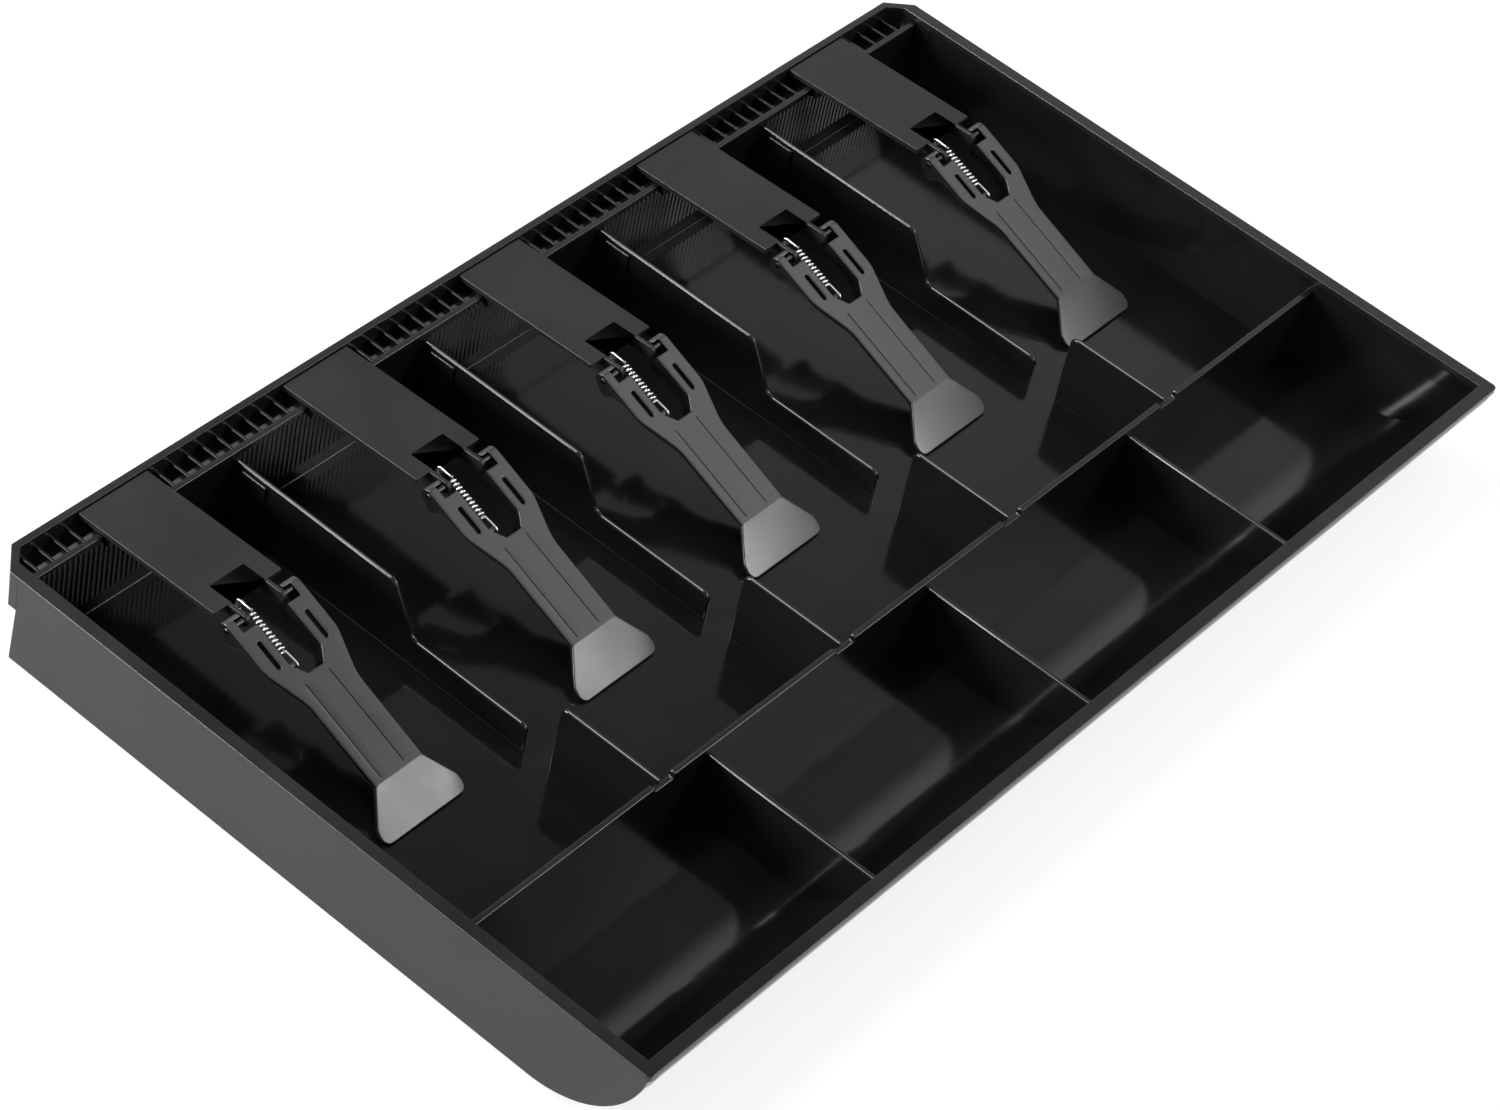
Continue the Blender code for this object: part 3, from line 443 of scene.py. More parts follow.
def base_outline():
    """Side of the bent sheet: under the scoop, the base, up the back wall, over the rail and back inside."""
    outer = bow((-HALF_DEPTH + FRONT_STEP, RIM_LOW), (SCOOP_FOOT_Y, 0), SCOOP_STEPS)
    inner = bow((FRONT_INNER_Y + 0.02, RIM_LOW + 0.4), (SCOOP_FOOT_Y, FLOOR_TOP), SCOOP_STEPS)
    back = rounded([(SCOOP_FOOT_Y + 1, 0, 0), (RAIL_BACK_Y + BACK_LEAN, 0, 0.5), (RAIL_BACK_Y, SKIRT_FOOT, 0),
                    (RAIL_BACK_Y, RAIL_TOP, 0.35), (RAIL_FRONT_Y, RAIL_TOP, 0.35),
                    (RAIL_FRONT_Y, FLOOR_TOP, 0.3), (SCOOP_FOOT_Y + 1, FLOOR_TOP, 0)])
    return np.concatenate([outer, back, inner[::-1]])


def outside_of_base(centre, normal):
    """True for the faces under the sheet, behind it and on top of the rail."""
    under = (normal[:, 2] < -0.5) | ((normal[:, 1] < 0) & (centre[:, 1] < SCOOP_FOOT_Y))
    return under | (centre[:, 1] > RAIL_BACK_Y - 0.4) | (centre[:, 2] > RAIL_TOP - 0.4)


tray_piece("tray_floor", [slab(base_outline(), -FLOOR_END_X, FLOOR_END_X, "X", 0)], [polished, etched],
           outside_of_base)


# Side walls: double walls, open below. The outer skirt is upright and etched, and the inner wall leans in by
# two millimetres towards the floor so that the moulding leaves its mould. The groove between them is closed at
# both ends.
SKIRT = 1.6
INNER_WALL = 1.8
INTO_RIM = 0.2
GROOVE_FILL = 6.0


def side_outline(inset):
    """Side of the tray below the rim, drawn in by an inset."""
    top = RIM_LOW + INTO_RIM
    arc = bow((-HALF_DEPTH + FRONT_STEP + inset, top), (SCOOP_FOOT_Y, inset), SCOOP_STEPS)
    back = rounded([(SCOOP_FOOT_Y + 1, inset, 0), (RAIL_BACK_Y + BACK_LEAN - inset, inset, 0.5),
                    (RAIL_BACK_Y - inset, SKIRT_FOOT, 0), (RAIL_BACK_Y - inset, top, 0)])
    return np.concatenate([arc, back])


def leaning_wall(side):
    """Inner wall as a plate along X, sheared by the lean at each height."""
    points, faces = slab(side_outline(0.06), INNER_X, INNER_X + INNER_WALL, "X", 0)
    points[:, 0] = side * (points[:, 0] - lean(points[:, 2]))
    return points, faces if side > 0 else [face[::-1] for face in faces]


def groove_end(side, front):
    """Solid end of the groove under a side wall, behind the scoop or in front of the rail."""
    inset = 0.04
    outline = side_outline(inset)
    if front:
        split = SCOOP_FOOT_Y + GROOVE_FILL
        outline = np.concatenate([outline[outline[:, 0] < SCOOP_FOOT_Y + 0.5], [(split, inset), (split, RIM_LOW)]])
    else:
        split = RAIL_FRONT_Y - GROOVE_FILL
        outline = np.concatenate([outline[outline[:, 0] > split], [(split, RIM_LOW), (split, inset)]])
    return slab(outline, *sorted((side * (INNER_X - 0.6), side * (HALF_LENGTH - 1))), "X", 0)


for side, word in ((-1, "left"), (1, "right")):
    skirt_ends = sorted((side * (HALF_LENGTH - 0.1), side * (HALF_LENGTH - SKIRT)))
    skirt = slab(side_outline(0.0), *skirt_ends, "X", 0.25)
    tray_piece(f"tray_side_{word}", [skirt, leaning_wall(side), groove_end(side, True), groove_end(side, False)],
               [polished, etched], lambda centre, normal: np.abs(centre[:, 0]) > INNER_X - 0.01)


# Ladder behind the rail: a row of thin ribs between the rail and the back skirt. Each clip bracket has two
# legs that go down between the ribs, so that it can be set in any place along the rail.
FIRST_RIB_X = -193.1
RIB_PITCH = 5.815
RIB_COUNT = 67
RIB = 1.0
RIB_TOP = 29.4


def skirt_skin():
    """Back skirt: the rim's band carried down to SKIRT_FOOT, from the rail round both back corners."""
    front_points = 2 * (CORNER_STEPS + 1)
    begin_y = RAIL_BACK_Y - 0.1
    backs = [path[front_points:] for path in rim_paths(0.08)]
    outer, inner = (np.concatenate([[(back[0, 0], begin_y)], back, [(back[-1, 0], begin_y)]]) for back in backs)
    share = np.array([0.0, 0.0, 0.08, 0.92, 1.0, 1.0])
    outside = [RIM_LOW + INTO_RIM, SKIRT_FOOT + 0.2, SKIRT_FOOT]
    return banded(outer, inner, share, np.array(outside + outside[::-1]))


rib_front, rib_back, rib_foot = RAIL_BACK_Y - 0.3, BACK_INNER_Y + 0.3, SKIRT_FOOT + 0.3
rib_side = [(rib_front, rib_foot), (rib_back, rib_foot), (rib_back, RIB_TOP), (rib_front, RIB_TOP)]
ribs = [slab(rib_side, x - RIB / 2, x + RIB / 2, "X", 0.18, 2)
        for x in FIRST_RIB_X + RIB_PITCH * np.arange(RIB_COUNT)]
tray_piece("tray_back_skirt", [skirt_skin()], [etched])
tray_piece("tray_ladder", ribs, [polished])


# Grip ribs: fine upright ribs on the back wall of each note bay, moulded into its face, from the rail down to
# a few millimetres over the floor.
BAY_PITCH = 2 * INNER_X / 5
DIVIDERS_X = [-INNER_X + BAY_PITCH * k for k in range(1, 5)]
BAY_END_X = INNER_X - 2.4
GRIP_MARGIN = 1.2
GRIP_PITCH = 2.0
GRIP_HIGH = 0.22
GRIP_FOOT = 7.4


def grip_skin(left, right):
    """Ribbed face: y = RAIL_FRONT_Y - GRIP_HIGH * (share(z) * wave(x) - 0.05).

    wave = (0.5 + 0.5 * cos(2 pi x / GRIP_PITCH)) squared, x counted from the left end. share is 1 over most of
    the height, and where it is negative, at the foot and at the top, the skin lies inside the wall.
    """
    x = np.linspace(left, right, int((right - left) / GRIP_PITCH) * 8 + 1)
    wave = (0.5 + 0.5 * np.cos(2 * math.pi * (x - left) / GRIP_PITCH)) ** 2
    z = np.array([GRIP_FOOT - 0.2, GRIP_FOOT, GRIP_FOOT + 0.15, 28.0, RAIL_TOP - 1.2, RAIL_TOP - 1.0])
    share = np.array([-0.3, -0.3, 1.0, 1.0, 0.3, -0.3])
    y = RAIL_FRONT_Y - GRIP_HIGH * np.where(share < 0, share, share * wave[:, None] - 0.05)
    return solid(np.stack([np.broadcast_to(x[:, None], y.shape), y, np.broadcast_to(z, y.shape)], -1))


bay_edges = [-BAY_END_X] + DIVIDERS_X + [BAY_END_X]
grips = [grip_skin(a + GRIP_MARGIN, b - GRIP_MARGIN) for a, b in zip(bay_edges[:-1], bay_edges[1:])]
tray_piece("tray_grip_ribs", grips, [polished])


# Note dividers: four thin walls moulded with the floor. Each has a stub at the cross wall, a gap for a finger,
# a low stretch and a step up to the rail, with a thickened pad on its left near the rail.
DIVIDER = 1.6
DIVIDER_TOP = 28.2
DIVIDER_EDGE = 0.72
SUNK = 0.5
STUB_END_Y = -17.5
LOW_BEGIN_Y = -8.0
LOW_TOP = 11.5
STEP_FOOT_Y = 36.5
STEP_TOP_Y = 46.0
PAD_FRONT_Y = 95.9
PAD_BACK_Y = 105.4
PAD_TOP = 27.0
PAD = 0.9
CROSS_BACK_Y = -53.0


def note_divider(x):
    """Stub, rear wall and pad of one divider, each sunk into what carries it."""
    base = FLOOR_TOP - SUNK
    front, back = CROSS_BACK_Y - SUNK, RAIL_FRONT_Y + SUNK
    stub = rounded([(front, base, 0), (STUB_END_Y, base, 0), (STUB_END_Y, DIVIDER_TOP, 2.6),
                    (front, DIVIDER_TOP, 0)], 8)
    rear = rounded([(LOW_BEGIN_Y, base, 0), (back, base, 0), (back, DIVIDER_TOP, 0), (STEP_TOP_Y, DIVIDER_TOP, 3.5),
                    (STEP_FOOT_Y, LOW_TOP, 3.5), (LOW_BEGIN_Y, LOW_TOP, 3.0)], 8)
    pad = rounded([(PAD_FRONT_Y, base, 0), (PAD_BACK_Y, base, 0), (PAD_BACK_Y, PAD_TOP, 0.4),
                   (PAD_FRONT_Y, PAD_TOP, 0.4)])
    left, right = x - DIVIDER / 2, x + DIVIDER / 2
    return [slab(stub, left, right, "X", DIVIDER_EDGE, 6), slab(rear, left, right, "X", DIVIDER_EDGE, 6),
            slab(pad, left - PAD, x, "X", 0.2)]


for number, x in enumerate(DIVIDERS_X, start=1):
    tray_piece(f"note_divider_{number}", note_divider(x), [polished])


# Cross wall: the wall between the note bays and the coin cups, with a shallow notch in its top where each
# note divider meets it.
CROSS_FRONT_Y = -55.0
NOTCH_DEEP = 1.7
NOTCH = ((5.0, 0), (4.6, NOTCH_DEEP), (-3.1, NOTCH_DEEP), (-3.5, 0))


def cross_wall():
    """Wall from its front outline, which is notched at each divider."""
    top_end, foot_end = INNER_X - lean(DIVIDER_TOP) + 0.6, INNER_X - 1.4
    corners = [(-foot_end, FLOOR_TOP - SUNK, 0), (foot_end, FLOOR_TOP - SUNK, 0), (top_end, DIVIDER_TOP, 0)]
    for x in reversed(DIVIDERS_X):
        corners += [(x + right, DIVIDER_TOP - deep, 0.5) for right, deep in NOTCH]
    corners.append((-top_end, DIVIDER_TOP, 0))
    return slab(rounded(corners), CROSS_FRONT_Y, CROSS_BACK_Y, "Y", 0.35)


tray_piece("cross_wall", [cross_wall()], [polished, etched], lambda centre, normal: normal[:, 2] > 0.9)


# Coin dividers: three walls between the four coin cups. They follow the scoop down to the floor.
CUP_PITCH = 2 * INNER_X / 4
CUP_TOP = 26.0
CUP_WALL = 1.8


def cup_divider(x):
    """Wall across the cups, its foot sunk into the scoop."""
    base, back = FLOOR_TOP - 0.6, CROSS_FRONT_Y + SUNK
    scoop = bow((FRONT_INNER_Y - 0.6, TOP), (SCOOP_FOOT_Y, base), SCOOP_STEPS)
    scoop = scoop[scoop[:, 1] < CUP_TOP - 0.5]
    outline = np.concatenate([[(scoop[0, 0] - 0.1, CUP_TOP)], scoop, [(back, base), (back, CUP_TOP)]])
    return slab(outline, x - CUP_WALL / 2, x + CUP_WALL / 2, "X", 0.6, 5)


for number in range(1, 4):
    tray_piece(f"coin_divider_{number}", [cup_divider(-INNER_X + CUP_PITCH * number)], [polished])


# Clip brackets: a flat plate of nylon that snaps over the rail. Two ears go on from its notched front end and
# carry the hinge, and two legs behind the rail keep it in place.
PIVOT_Y = 60.0
PIVOT_Z = 32.648
CLIPS_X = [FIRST_RIB_X + RIB_PITCH * k for k in (6, 20, 33, 47, 60)]
PLATE = 1.8
PLATE_TILT = math.tan(math.radians(2.1))
RAIL_PLAY = 0.3
EAR_INNER_X = 6.5
EAR_OUTER_X = 7.9
EAR_BACK_Y = 108.35
HOOK_DROP = 4.0
LEG_DROP = 9.0
UPPER_PEG = (4.7, 0.6)
PEG = 0.9
PEG_END_X = -3.1

bracket_satin = moulded_plastic("bracket_satin", 0.014, 0.32, 0.30, 2200.0, 0.06, 0.00001)


def plate_top(y):
    """Height of the plate's sloping top at a place along it."""
    return RAIL_TOP + RAIL_PLAY + PLATE + ((RAIL_FRONT_Y + RAIL_BACK_Y) / 2 - y) * PLATE_TILT


def moved(part, shift):
    """The same skin in another place."""
    return part[0] + np.array(shift), part[1]


def spring_peg(centre, root_x):
    """Peg of 24 sides along X, from its root to its free end, that one hook of the spring goes round."""
    return slab(turn(centre, PEG, 0, 345, 23), root_x, PEG_END_X, "X", 0.25)


def bracket_parts():
    """Plate, ears, rail hook, legs and spring peg, with the clip's middle at x = 0."""
    front, back, wide, notch_back = 66.0, 119.3, 13.3, 74.3
    plan = rounded([(-wide, front, 0.4), (-EAR_INNER_X, front, 0.2), (-EAR_INNER_X, notch_back, 0.2),
                    (EAR_INNER_X, notch_back, 0.2), (EAR_INNER_X, front, 0.2), (wide, front, 0.4),
                    (wide, back, 0.4), (-wide, back, 0.4)])
    points, faces = slab(plan, -PLATE, 0, "Z", 0.22)
    points[:, 2] += plate_top(points[:, 1])
    parts = [(points, faces)]
    drop = plate_top(EAR_BACK_Y) - plate_top(PIVOT_Y)
    ear = np.concatenate([[(EAR_BACK_Y, plate_top(EAR_BACK_Y) - 0.25)],
                          turn((PIVOT_Y, PIVOT_Z), 1.8, 90, 180, 8),
                          turn((PIVOT_Y + 0.5, PIVOT_Z - 0.3), 2.3, 180, 270, 6),
                          [(EAR_BACK_Y, PIVOT_Z - 2.6 + drop)]])
    hook_back, hook_front = RAIL_FRONT_Y - RAIL_PLAY, RAIL_FRONT_Y - RAIL_PLAY - 1.5
    under = plate_top(hook_back) - PLATE
    hook = rounded([(hook_front, under - HOOK_DROP, 0.3), (hook_back, under - HOOK_DROP, 0.3),
                    (hook_back, under + 0.9, 0), (hook_front, under + 0.9, 0)])
    parts.append(slab(hook, -12.5, 12.5, "X", 0.3))
    leg_y = RAIL_BACK_Y + RAIL_PLAY
    top = plate_top(leg_y) - PLATE / 2
    leg = rounded([(leg_y, top, 0), (leg_y, top - LEG_DROP, 0.3), (leg_y + 0.9, top - LEG_DROP, 0.3),
                   (leg_y + 1.8, top - 7.2, 0.3), (leg_y + 1.8, top, 0)])
    for side in (-1, 1):
        parts.append(slab(ear, *sorted((side * EAR_INNER_X, side * EAR_OUTER_X)), "X", 0.25))
        middle = side * RIB_PITCH / 2
        parts.append(slab(leg, middle - 1.7, middle + 1.7, "X", 0.25))
    parts.append(spring_peg((PIVOT_Y + UPPER_PEG[0], PIVOT_Z + UPPER_PEG[1]), -7.2))
    return parts


for number, x in enumerate(CLIPS_X, start=1):
    piece(f"bracket_{number}", [moved(part, (x, 0, 0)) for part in bracket_parts()], [bracket_satin], TRAY_BODY,
          f"clip_bracket_{number}")


# Clip levers: a forked nylon hold-down. The fork straddles the bracket's ears, its arms have a slot each, and
# the narrow arm ends in a wide foot, bent down, that lies on the notes.
SHEET = 1.8
SHEET_RISE = 1.7
ARM_REACH = 59.0
FOOT_LENGTH = 15.5
FOOT_THICK = 0.7
FOOT_BEND = math.radians(13.4)
FOOT_CROWN = 0.35
REST_SLOPE = math.radians(22.232)
BEND = 1.4
WINDOW_END = 3.2
SLOT_BACK, SLOT_FRONT = 7.6, 17.3
OPENING_BEND, OPENING_END = 18.0, 22.5
OPENING_WIDE, OPENING_NARROW = 6.1, 3.0
GROOVES_X = (-6.1, 3.2)
GROOVE_DEEP = 0.13
LOWER_PEG = (-18.2, SHEET_RISE - 1.5)

lever_satin = moulded_plastic("lever_satin", 0.036, 0.30, 0.50, 2200.0, 0.05, 0.00001)
# The sides and the underside are polished and painted darker than the satin top: painted shade.
lever_gloss_painted_shade = moulded_plastic("lever_gloss_painted_shade", 0.010, 0.12, 0.50, 900.0, 0.03, 0.000001)
# The grooves are painted near black with little gloss: painted shade in the grooves.
groove_painted_shade = moulded_plastic("groove_painted_shade", 0.004, 0.60, 0.06, 900.0, 0.03, 0.000001)


def half_width(reach):
    """Half of the lever's width at a distance along it from the hinge: fork, waist, arm, flare and round tip."""
    corner = 3.0
    tip = ARM_REACH + FOOT_LENGTH
    shoulder = ARM_REACH + 10.2
    straight = np.interp(reach, [-2, 15.5, 17.4, 28.1, 29.5, 31.0, 32.6, ARM_REACH, shoulder - 0.8, shoulder,
                                 shoulder + 0.8, tip],
                         [14.2, 14.2, 13.88, 10.2, 9.83, 9.58, 9.49, 9.4, 15.66, 16.1, 16.24, 16.5])
    beyond = np.clip(reach - (tip - corner), 0, corner)
    return straight - (corner - np.sqrt(corner * corner - beyond * beyond))


def sheet_path(reach):
    """Place (y, z) of the sheet's top at a distance along it from the hinge, before the lever is turned down.

    Level up to the bend, then an arc of radius BEND through FOOT_BEND, then straight down at that angle.
    """
    arc_half = BEND * math.tan(FOOT_BEND / 2)
    begin = ARM_REACH - arc_half
    length = BEND * FOOT_BEND
    angle = np.clip((reach - begin) / length, 0, 1) * FOOT_BEND
    beyond = np.clip(reach - begin - length, 0, None)
    y = np.minimum(reach, begin) + BEND * np.sin(angle) + beyond * math.cos(FOOT_BEND)
    z = -BEND * (1 - np.cos(angle)) - beyond * math.sin(FOOT_BEND)
    return -y, SHEET_RISE + z


def lever_columns(reach):
    """Places across the sheet for each row, from edge to edge.

    On the fork each half has seven: its edge, both sides of the slot, three between the slot and the opening, and
    the opening's edge. On the arm the three draw together into a fine groove. On the foot all fourteen are spread
    over the width by fixed shares.
    """
    half = half_width(reach)
    slot_middle, slot_half = 9.4, 0.75
    into = np.minimum(reach - SLOT_BACK, SLOT_FRONT - reach) / slot_half
    round_end = np.sqrt(np.clip(1 - np.clip(1 - into, 0, 1) ** 2, 0, 1))
    slot = np.maximum(0.3, slot_half * np.where(into > 0, round_end, 0))
    at_window = reach < WINDOW_END + 0.05
    outer = np.where(at_window, 11.2, np.minimum(slot_middle + slot, 0.87 * half))
    inner = np.where(at_window, 9.6, np.minimum(slot_middle - slot, 0.79 * half))
    opening = np.interp(reach, [OPENING_BEND, OPENING_END], [OPENING_WIDE, OPENING_NARROW])
    shares = np.array([0.2, 0.5, 0.8])
    left = -inner[:, None] + (inner - opening)[:, None] * shares
    right = opening[:, None] + (inner - opening)[:, None] * shares
    across_groove = 0.17 * np.array([-1, 0, 1])
    narrow = np.clip((reach - OPENING_END) / 2.0, 0, 1)[:, None]
    left = left * (1 - narrow) + (GROOVES_X[0] + across_groove) * narrow
    right = right * (1 - narrow) + (GROOVES_X[1] + across_groove) * narrow
    arm = np.concatenate([-half[:, None], -outer[:, None], -inner[:, None], left, -opening[:, None],
                          opening[:, None], right, inner[:, None], outer[:, None], half[:, None]], -1)
    right_share = np.array([0.1, 0.27, 0.42, 0.56, 0.7, 0.84, 1.0])
    foot = half[:, None] * np.concatenate([-right_share[::-1], right_share])
    onto_foot = np.clip((reach - (ARM_REACH - 1.1)) / 0.8, 0, 1)[:, None]
    return arm * (1 - onto_foot) + foot * onto_foot


def lever_sheet():
    """Top of the sheet: points, faces, and each point's thickness and groove depth.

    The points are a grid, point(reach, column), with rows where an edge of a hole or a bend needs them. The cells
    of the windows, the slots and the opening are left out. The foot is crowned: it sinks from its middle by
    FOOT_CROWN * (across / 16) squared, which comes in over its first 5 mm.
    """
    reach = np.concatenate([
        [-0.4, 1.0, WINDOW_END, 3.8, 5.0, SLOT_BACK, 7.75, 8.0, 8.35], np.linspace(9.5, 15.5, 3),
        [16.55, 16.9, 17.15, SLOT_FRONT, OPENING_BEND], np.linspace(18.9, OPENING_END, 5),
        [23.3, 24.5, 24.9, 25.1, 26.5], np.linspace(28.1, 57.0, 12), [57.6, 57.8],
        np.linspace(ARM_REACH - 0.3, ARM_REACH + 0.3, 5), np.linspace(60.5, 68.4, 5),
        [69.2, 70.0, 70.8, 71.5, 72.4, 73.3, 73.95, 74.38]])
    across = lever_columns(reach)
    y, z = sheet_path(reach)
    rows, columns = across.shape
    crown = FOOT_CROWN * np.clip((reach - ARM_REACH) / 5.0, 0, 1)[:, None] * (across / 16.0) ** 2
    height = z[:, None] - crown
    points = np.stack([across, np.repeat(y[:, None], columns, 1), height], -1).reshape(-1, 3)
    index = np.arange(rows * columns).reshape(rows, columns)
    quads = np.stack([index[:-1, :-1], index[1:, :-1], index[1:, 1:], index[:-1, 1:]], -1)
    middle = (reach[:-1] + reach[1:]) / 2
    column = np.arange(columns - 1)
    in_slot = (middle > SLOT_BACK) & (middle < SLOT_FRONT)
    is_slot = ((column == 1) | (column == columns - 3))[None] & in_slot[:, None]
    is_opening = (column == columns // 2 - 1)[None] & (middle < OPENING_END)[:, None]
    is_window = ((column >= 1) & (column <= columns - 3))[None] & (middle < WINDOW_END)[:, None]
    faces = quads[~(is_slot | is_opening | is_window)]
    used = np.unique(faces)
    new = np.full(rows * columns, -1)
    new[used] = np.arange(len(used))
    thick = np.interp(np.repeat(reach, columns)[used], [ARM_REACH, ARM_REACH + FOOT_LENGTH], [SHEET, FOOT_THICK])
    carve = np.zeros((rows, columns))
    groove_columns = [4, 9]
    carve[np.ix_((reach > 25.0) & (reach < 57.7), groove_columns)] = GROOVE_DEEP
    return points[used], new[faces], thick, carve.reshape(-1)[used]


def sheet_body(points, faces, thick, carve, edge=0.42, steps=4):
    """Sheet with a thickness and round edges, from the grid of its top.

    Each vertex goes down its own normal by the thickness there. On an outline or the edge of a hole, the rim is
    a half loop: point(a) = place - out * edge * (1 - sin a) - normal * edge * (1 - cos a), a from 0 to 90 degrees,
    and the same turned over at the lower side. The direction out lies on the mitre of the outline, and edge is
    at most 0.4 of the thickness.
    """
    corner = points[faces]
    facing = np.cross(corner[:, 2] - corner[:, 0], corner[:, 3] - corner[:, 1])
    normal = np.zeros_like(points)
    for place in range(4):
        np.add.at(normal, faces[:, place], facing)
    normal /= np.linalg.norm(normal, axis=1)[:, None]
    start = faces.reshape(-1)
    end = np.roll(faces, -1, 1).reshape(-1)
    count = len(points)
    open_edge = ~np.isin(start * count + end, end * count + start)
    start, end = start[open_edge], end[open_edge]
    onward = np.full(count, -1)
    onward[start] = end
    back = np.full(count, -1)
    back[end] = start
    rim = np.flatnonzero(onward >= 0)
    ahead = points[onward[rim]] - points[rim]
    behind = points[rim] - points[back[rim]]
    out = [np.cross(way, normal[rim]) for way in (ahead, behind)]
    out = [way / np.linalg.norm(way, axis=1)[:, None] for way in out]
    mitre = (out[0] + out[1]) / (1 + (out[0] * out[1]).sum(1))[:, None]
    angle = np.linspace(0, math.pi / 2, steps + 1)[:, None]
    edge = np.minimum(edge, 0.4 * thick[rim])
    inset = edge * (1 - np.sin(angle))
    drop = edge * (1 - np.cos(angle))
    inset = np.concatenate([inset, inset[::-1]])
    deep = np.concatenate([drop, thick[rim] - drop[::-1]])
    rings = points[rim] - mitre * inset[..., None] - normal[rim] * deep[..., None]
    top = points - normal * carve[:, None]
    low = points - normal * thick[:, None]
    top[rim], low[rim] = rings[0], rings[-1]
    between = rings[1:-1]
    at = np.full((len(rings), count), -1)
    at[0], at[-1] = np.arange(count), np.arange(count) + count
    at[1:-1, rim] = 2 * count + np.arange(len(between) * len(rim)).reshape(len(between), -1)
    sides = np.stack([at[:-1, start], at[1:, start], at[1:, end], at[:-1, end]], -1).reshape(-1, 4)
    skin = np.concatenate([faces, faces[:, ::-1] + count, sides])
    return np.concatenate([top, low, between.reshape(-1, 3)]), skin.tolist()


def along_path(path, profile):
    """Wall along an open path in plan: at each point the profile (out, up) stands on the mitre of the path."""
    path = np.asarray(path, float)
    way = np.diff(path, axis=0)
    way /= np.linalg.norm(way, axis=1)[:, None]
    facing = np.stack([way[:, 1], -way[:, 0]], -1)
    before = np.concatenate([facing[:1], facing])
    after = np.concatenate([facing, facing[-1:]])
    mitre = (before + after) / (1 + (before * after).sum(1))[:, None]
    flat = path[:, None] + mitre[:, None] * profile[None, :, :1]
    tall = np.broadcast_to(profile[:, 1], flat.shape[:2])
    return solid(np.concatenate([flat, tall[..., None]], -1))


def lever_walls():
    """Cheeks with their heels, heads behind the windows, the wall round the opening and the spring's peg.

    Each outline is (y, z) from the hinge axis, and the wall's path is (x, y), before the lever is turned down.
    """
    parts = []
    hub = turn((0.4, SHEET_RISE - 2.5), 2.5, -90, 90, 14)
    cheek = np.concatenate([hub, [(-13.0, SHEET_RISE - 0.25), (-13.0, SHEET_RISE - 0.9), (-5.6, -1.6)],
                            rounded([(-5.6, -1.6, 0), (-3.4, -4.6, 0.5), (-1.2, -4.6, 0.5), (0.4, -3.3, 0)])[1:-1]])
    head = np.concatenate([[(1.3, -3.0)], hub[hub[:, 0] > 1.3], [(1.3, 1.4)]])
    bar = rounded([(-3.2, SHEET_RISE - 0.4, 0), (-4.4, SHEET_RISE - 0.4, 0), (-4.4, -3.2, 0.2), (-3.5, -4.4, 0.2),
                   (-3.2, -4.4, 0.1)])
    for side in (-1, 1):
        parts.append(slab(cheek, *sorted((side * 11.2, side * 14.12)), "X", 0.35, 4))
        parts.append(slab(head, *sorted((side * 8.4, side * 11.5)), "X", 0.3))
        parts.append(slab(bar, *sorted((side * 6.2, side * 11.4)), "X", 0.15))
    right_half = [(OPENING_NARROW, -OPENING_END), (OPENING_WIDE, -OPENING_BEND), (OPENING_WIDE, -3.6)]
    path = [(-x, y) for x, y in right_half[::-1]] + right_half
    top, foot = SHEET_RISE - 0.6, -4.3
    profile = np.array([(0.02, top), (1.2, top), (1.2, foot + 0.2), (1.0, foot), (0.2, foot), (0.02, foot + 0.2)])
    parts.append(along_path(path, profile))
    parts.append(spring_peg(LOWER_PEG, -6.8))
    return parts


def lever_piece(number, x):
    """One lever, turned down from level to where it rests; its polished sides and two fine grooves are painted
    darker than the top as shade.
    """
    cos, sin = math.cos(REST_SLOPE), math.sin(REST_SLOPE)

    def paint_of(centre, normal):
        """0 for the satin top, 1 for the polished sides and underside in painted shade, 2 for the grooves, painted
        near black and dull as shade.
        """
        from_groove = np.abs((centre[:, 0] - x)[:, None] - GROOVES_X)
        reach = (PIVOT_Y - centre[:, 1]) / cos
        groove = (from_groove < 0.15).any(1) & (reach > 24.8) & (reach < 58.2)
        return np.where(normal[:, 2] < 0.5, 1, np.where(groove, 2, 0))

    turned = []
    for place, faces in [sheet_body(*lever_sheet())] + lever_walls():
        y = place[:, 1] * cos - place[:, 2] * sin
        z = place[:, 1] * sin + place[:, 2] * cos
        turned.append((np.stack([place[:, 0] + x, y + PIVOT_Y, z + PIVOT_Z], -1), faces))
    piece(f"lever_{number}", turned, [lever_satin, lever_gloss_painted_shade, groove_painted_shade], f"lever_{number}",
          f"clip_lever_{number}", paint_of)


for number, x in enumerate(CLIPS_X, start=1):
    lever_piece(number, x)


# Hinge pins: short stubs of dark steel, two for each clip, pressed through an ear and a cheek of the fork. The
# solids have their whole form, so they stay and get the metal alone.
def metal(name, shade, roughness, streak):
    """Bare metal with fine streaks in its roughness, drawn out along X."""
    made, tree, shader = paint_with_shader(name)
    shader.inputs["Metallic"].default_value = 1.0
    shader.inputs["Base Color"].default_value = (shade, shade, shade, 1)
    stretch = tree.nodes.new("ShaderNodeMapping")
    stretch.inputs["Scale"].default_value = (300, 4000, 4000)
    tree.links.new(tree.nodes.new("ShaderNodeTexCoord").outputs["Object"], stretch.inputs["Vector"])
    streaks = tree.nodes.new("ShaderNodeTexNoise")
    streaks.inputs["Scale"].default_value = 1.0
    tree.links.new(stretch.outputs["Vector"], streaks.inputs["Vector"])
    spread = ramp(tree, streaks.outputs["Fac"], 0, 1, roughness - streak, roughness + streak)
    tree.links.new(spread, shader.inputs["Roughness"])
    return made


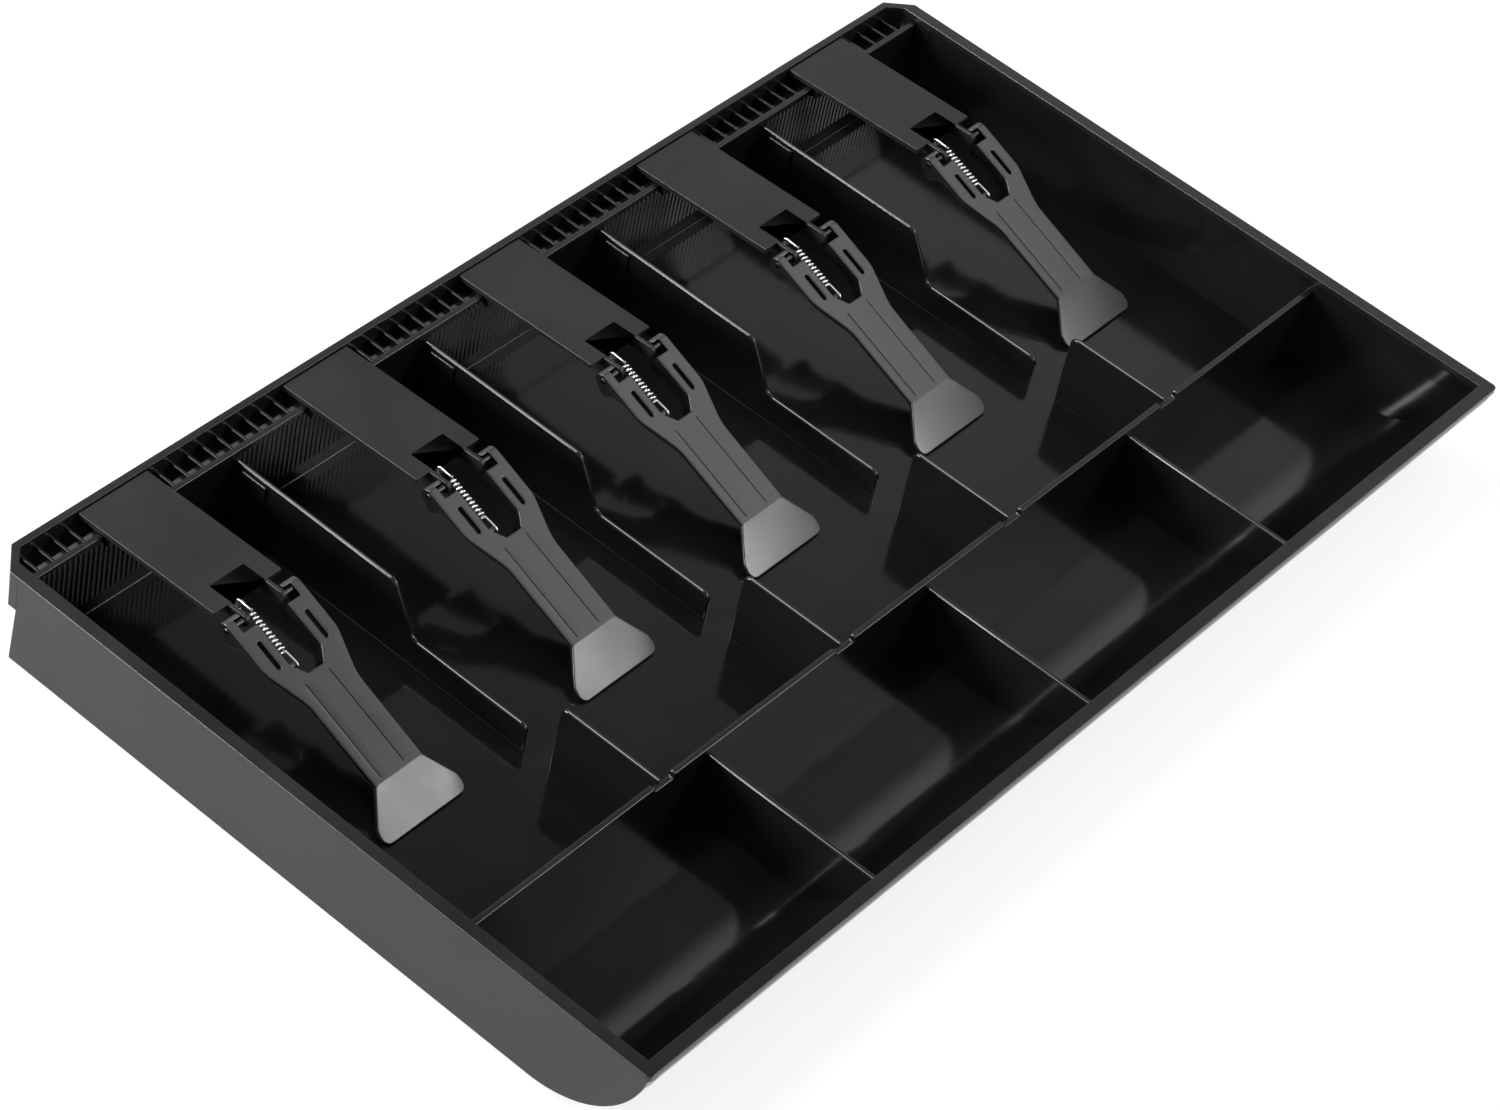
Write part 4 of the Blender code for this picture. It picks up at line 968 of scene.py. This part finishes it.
pin_metal = metal("pin_metal", 0.06, 0.30, 0.10)
for number in range(1, len(CLIPS_X) + 1):
    for side in ("left", "right"):
        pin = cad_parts[f"hinge_pin_{side}_{number}"]
        pin.data.materials.clear()
        pin.data.materials.append(pin_metal)


# Clip springs: small extension springs of bright wire. The lower hook goes round a peg in the lever's opening,
# and the upper one goes round a peg on the left ear.
WIRE = 0.29
COIL = 1.16
TURNS = 11
TURN_PITCH = 1.38
COIL_BEGIN = 4.0
COIL_LIFT = 0.8
COIL_TILT = 0.03
HOOK_PLAY = 0.3
LOWER_HOOK_OUT = 0.7
SPRING_X = -4.6
spring_metal = metal("spring_metal", 0.88, 0.16, 0.05)


def smooth_line(points, steps):
    """Points on a curve through given points, with a number of steps to each stretch.

    Between b and c, with a before and d after them and t from 0 to 1, the point is half of
    2 b + (c - a) t + (2 a - 5 b + 4 c - d) t^2 + (3 b - a - 3 c + d) t^3.
    """
    padded = np.concatenate([[2 * points[0] - points[1]], points, [2 * points[-1] - points[-2]]])
    a, b, c, d = (padded[k:len(padded) - 3 + k, None] for k in range(4))
    t = np.linspace(0, 1, steps, endpoint=False)[None, :, None]
    curve = 0.5 * (2 * b + (c - a) * t + (2 * a - 5 * b + 4 * c - d) * t ** 2 + (3 * b - a - 3 * c + d) * t ** 3)
    return np.concatenate([curve.reshape(-1, 3), points[-1:]])


def tube(line, radius, sides):
    """Round tube: point(s, a) = line(s) + radius * (first(s) * cos a + second(s) * sin a).

    first and second stand square to the line and to each other, and turn as little as possible from one point to
    the next.
    """
    ahead = np.gradient(line, axis=0)
    ahead /= np.linalg.norm(ahead, axis=1)[:, None]
    first = [np.cross(ahead[0], (0.3, 0.9, 0.2))]
    for way in ahead[1:]:
        last = first[-1] - way * (first[-1] @ way)
        first.append(last / np.linalg.norm(last))
    first = np.array(first)
    first[0] /= np.linalg.norm(first[0])
    second = np.cross(ahead, first)
    angle = np.linspace(0, 2 * math.pi, sides, endpoint=False)[None, :, None]
    return solid(line[:, None] + radius * (first[:, None] * np.cos(angle) + second[:, None] * np.sin(angle)))


def spring_line():
    """Centre of the wire from the lower hook's end, then the places of the upper and of the lower peg.

    The clip's hinge axis is the origin. The coil is a helix about a straight line that runs just over the pegs:
    point(turn) = line(turn * TURN_PITCH) + COIL * (side * cos(angle) + up * sin(angle)).
    It starts and ends on top, and each end runs on over its peg and round it.
    """
    cos, sin = math.cos(REST_SLOPE), math.sin(REST_SLOPE)
    low_y, low_z = LOWER_PEG
    low = np.array([SPRING_X, low_y * cos - low_z * sin, low_y * sin + low_z * cos])
    high = np.array([SPRING_X, *UPPER_PEG])
    side = np.array([1.0, 0, 0])
    along = (high - low) / np.linalg.norm(high - low)
    up = np.cross(side, along)
    angle = math.pi / 2 + np.linspace(0, 2 * math.pi * TURNS, TURNS * 16 + 1)[:, None]
    run = TURN_PITCH * (angle - math.pi / 2) / (2 * math.pi)
    middle = low + up * COIL_LIFT + along * COIL_BEGIN + (along + up * COIL_TILT) * run
    coil = middle + COIL * (side * np.cos(angle) + up * np.sin(angle))
    bend = np.radians(np.linspace(90, -125, 14))[:, None]
    wrap = PEG + HOOK_PLAY + WIRE
    lower = low + side * LOWER_HOOK_OUT + wrap * (up * np.sin(bend[::-1]) - along * np.cos(bend[::-1]))
    upper = high + wrap * (along * np.cos(bend) + up * np.sin(bend))
    begin = smooth_line(np.concatenate([lower, coil[:3]]), 3)[:-3]
    finish = smooth_line(np.concatenate([coil[-3:], upper]), 3)[3:]
    return np.concatenate([begin, coil[2:-2], finish]), high, low


wire, upper_place, lower_place = spring_line()
for number, x in enumerate(CLIPS_X, start=1):
    shift = np.array([x, PIVOT_Y, PIVOT_Z])
    item = piece(f"spring_{number}", [tube(wire + shift, WIRE, 10)], [spring_metal], TRAY_BODY,
                 f"clip_spring_{number}")
    # The spring is taken off the tray's body, and its place is baked into its points.
    item.parent = None
    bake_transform(item)
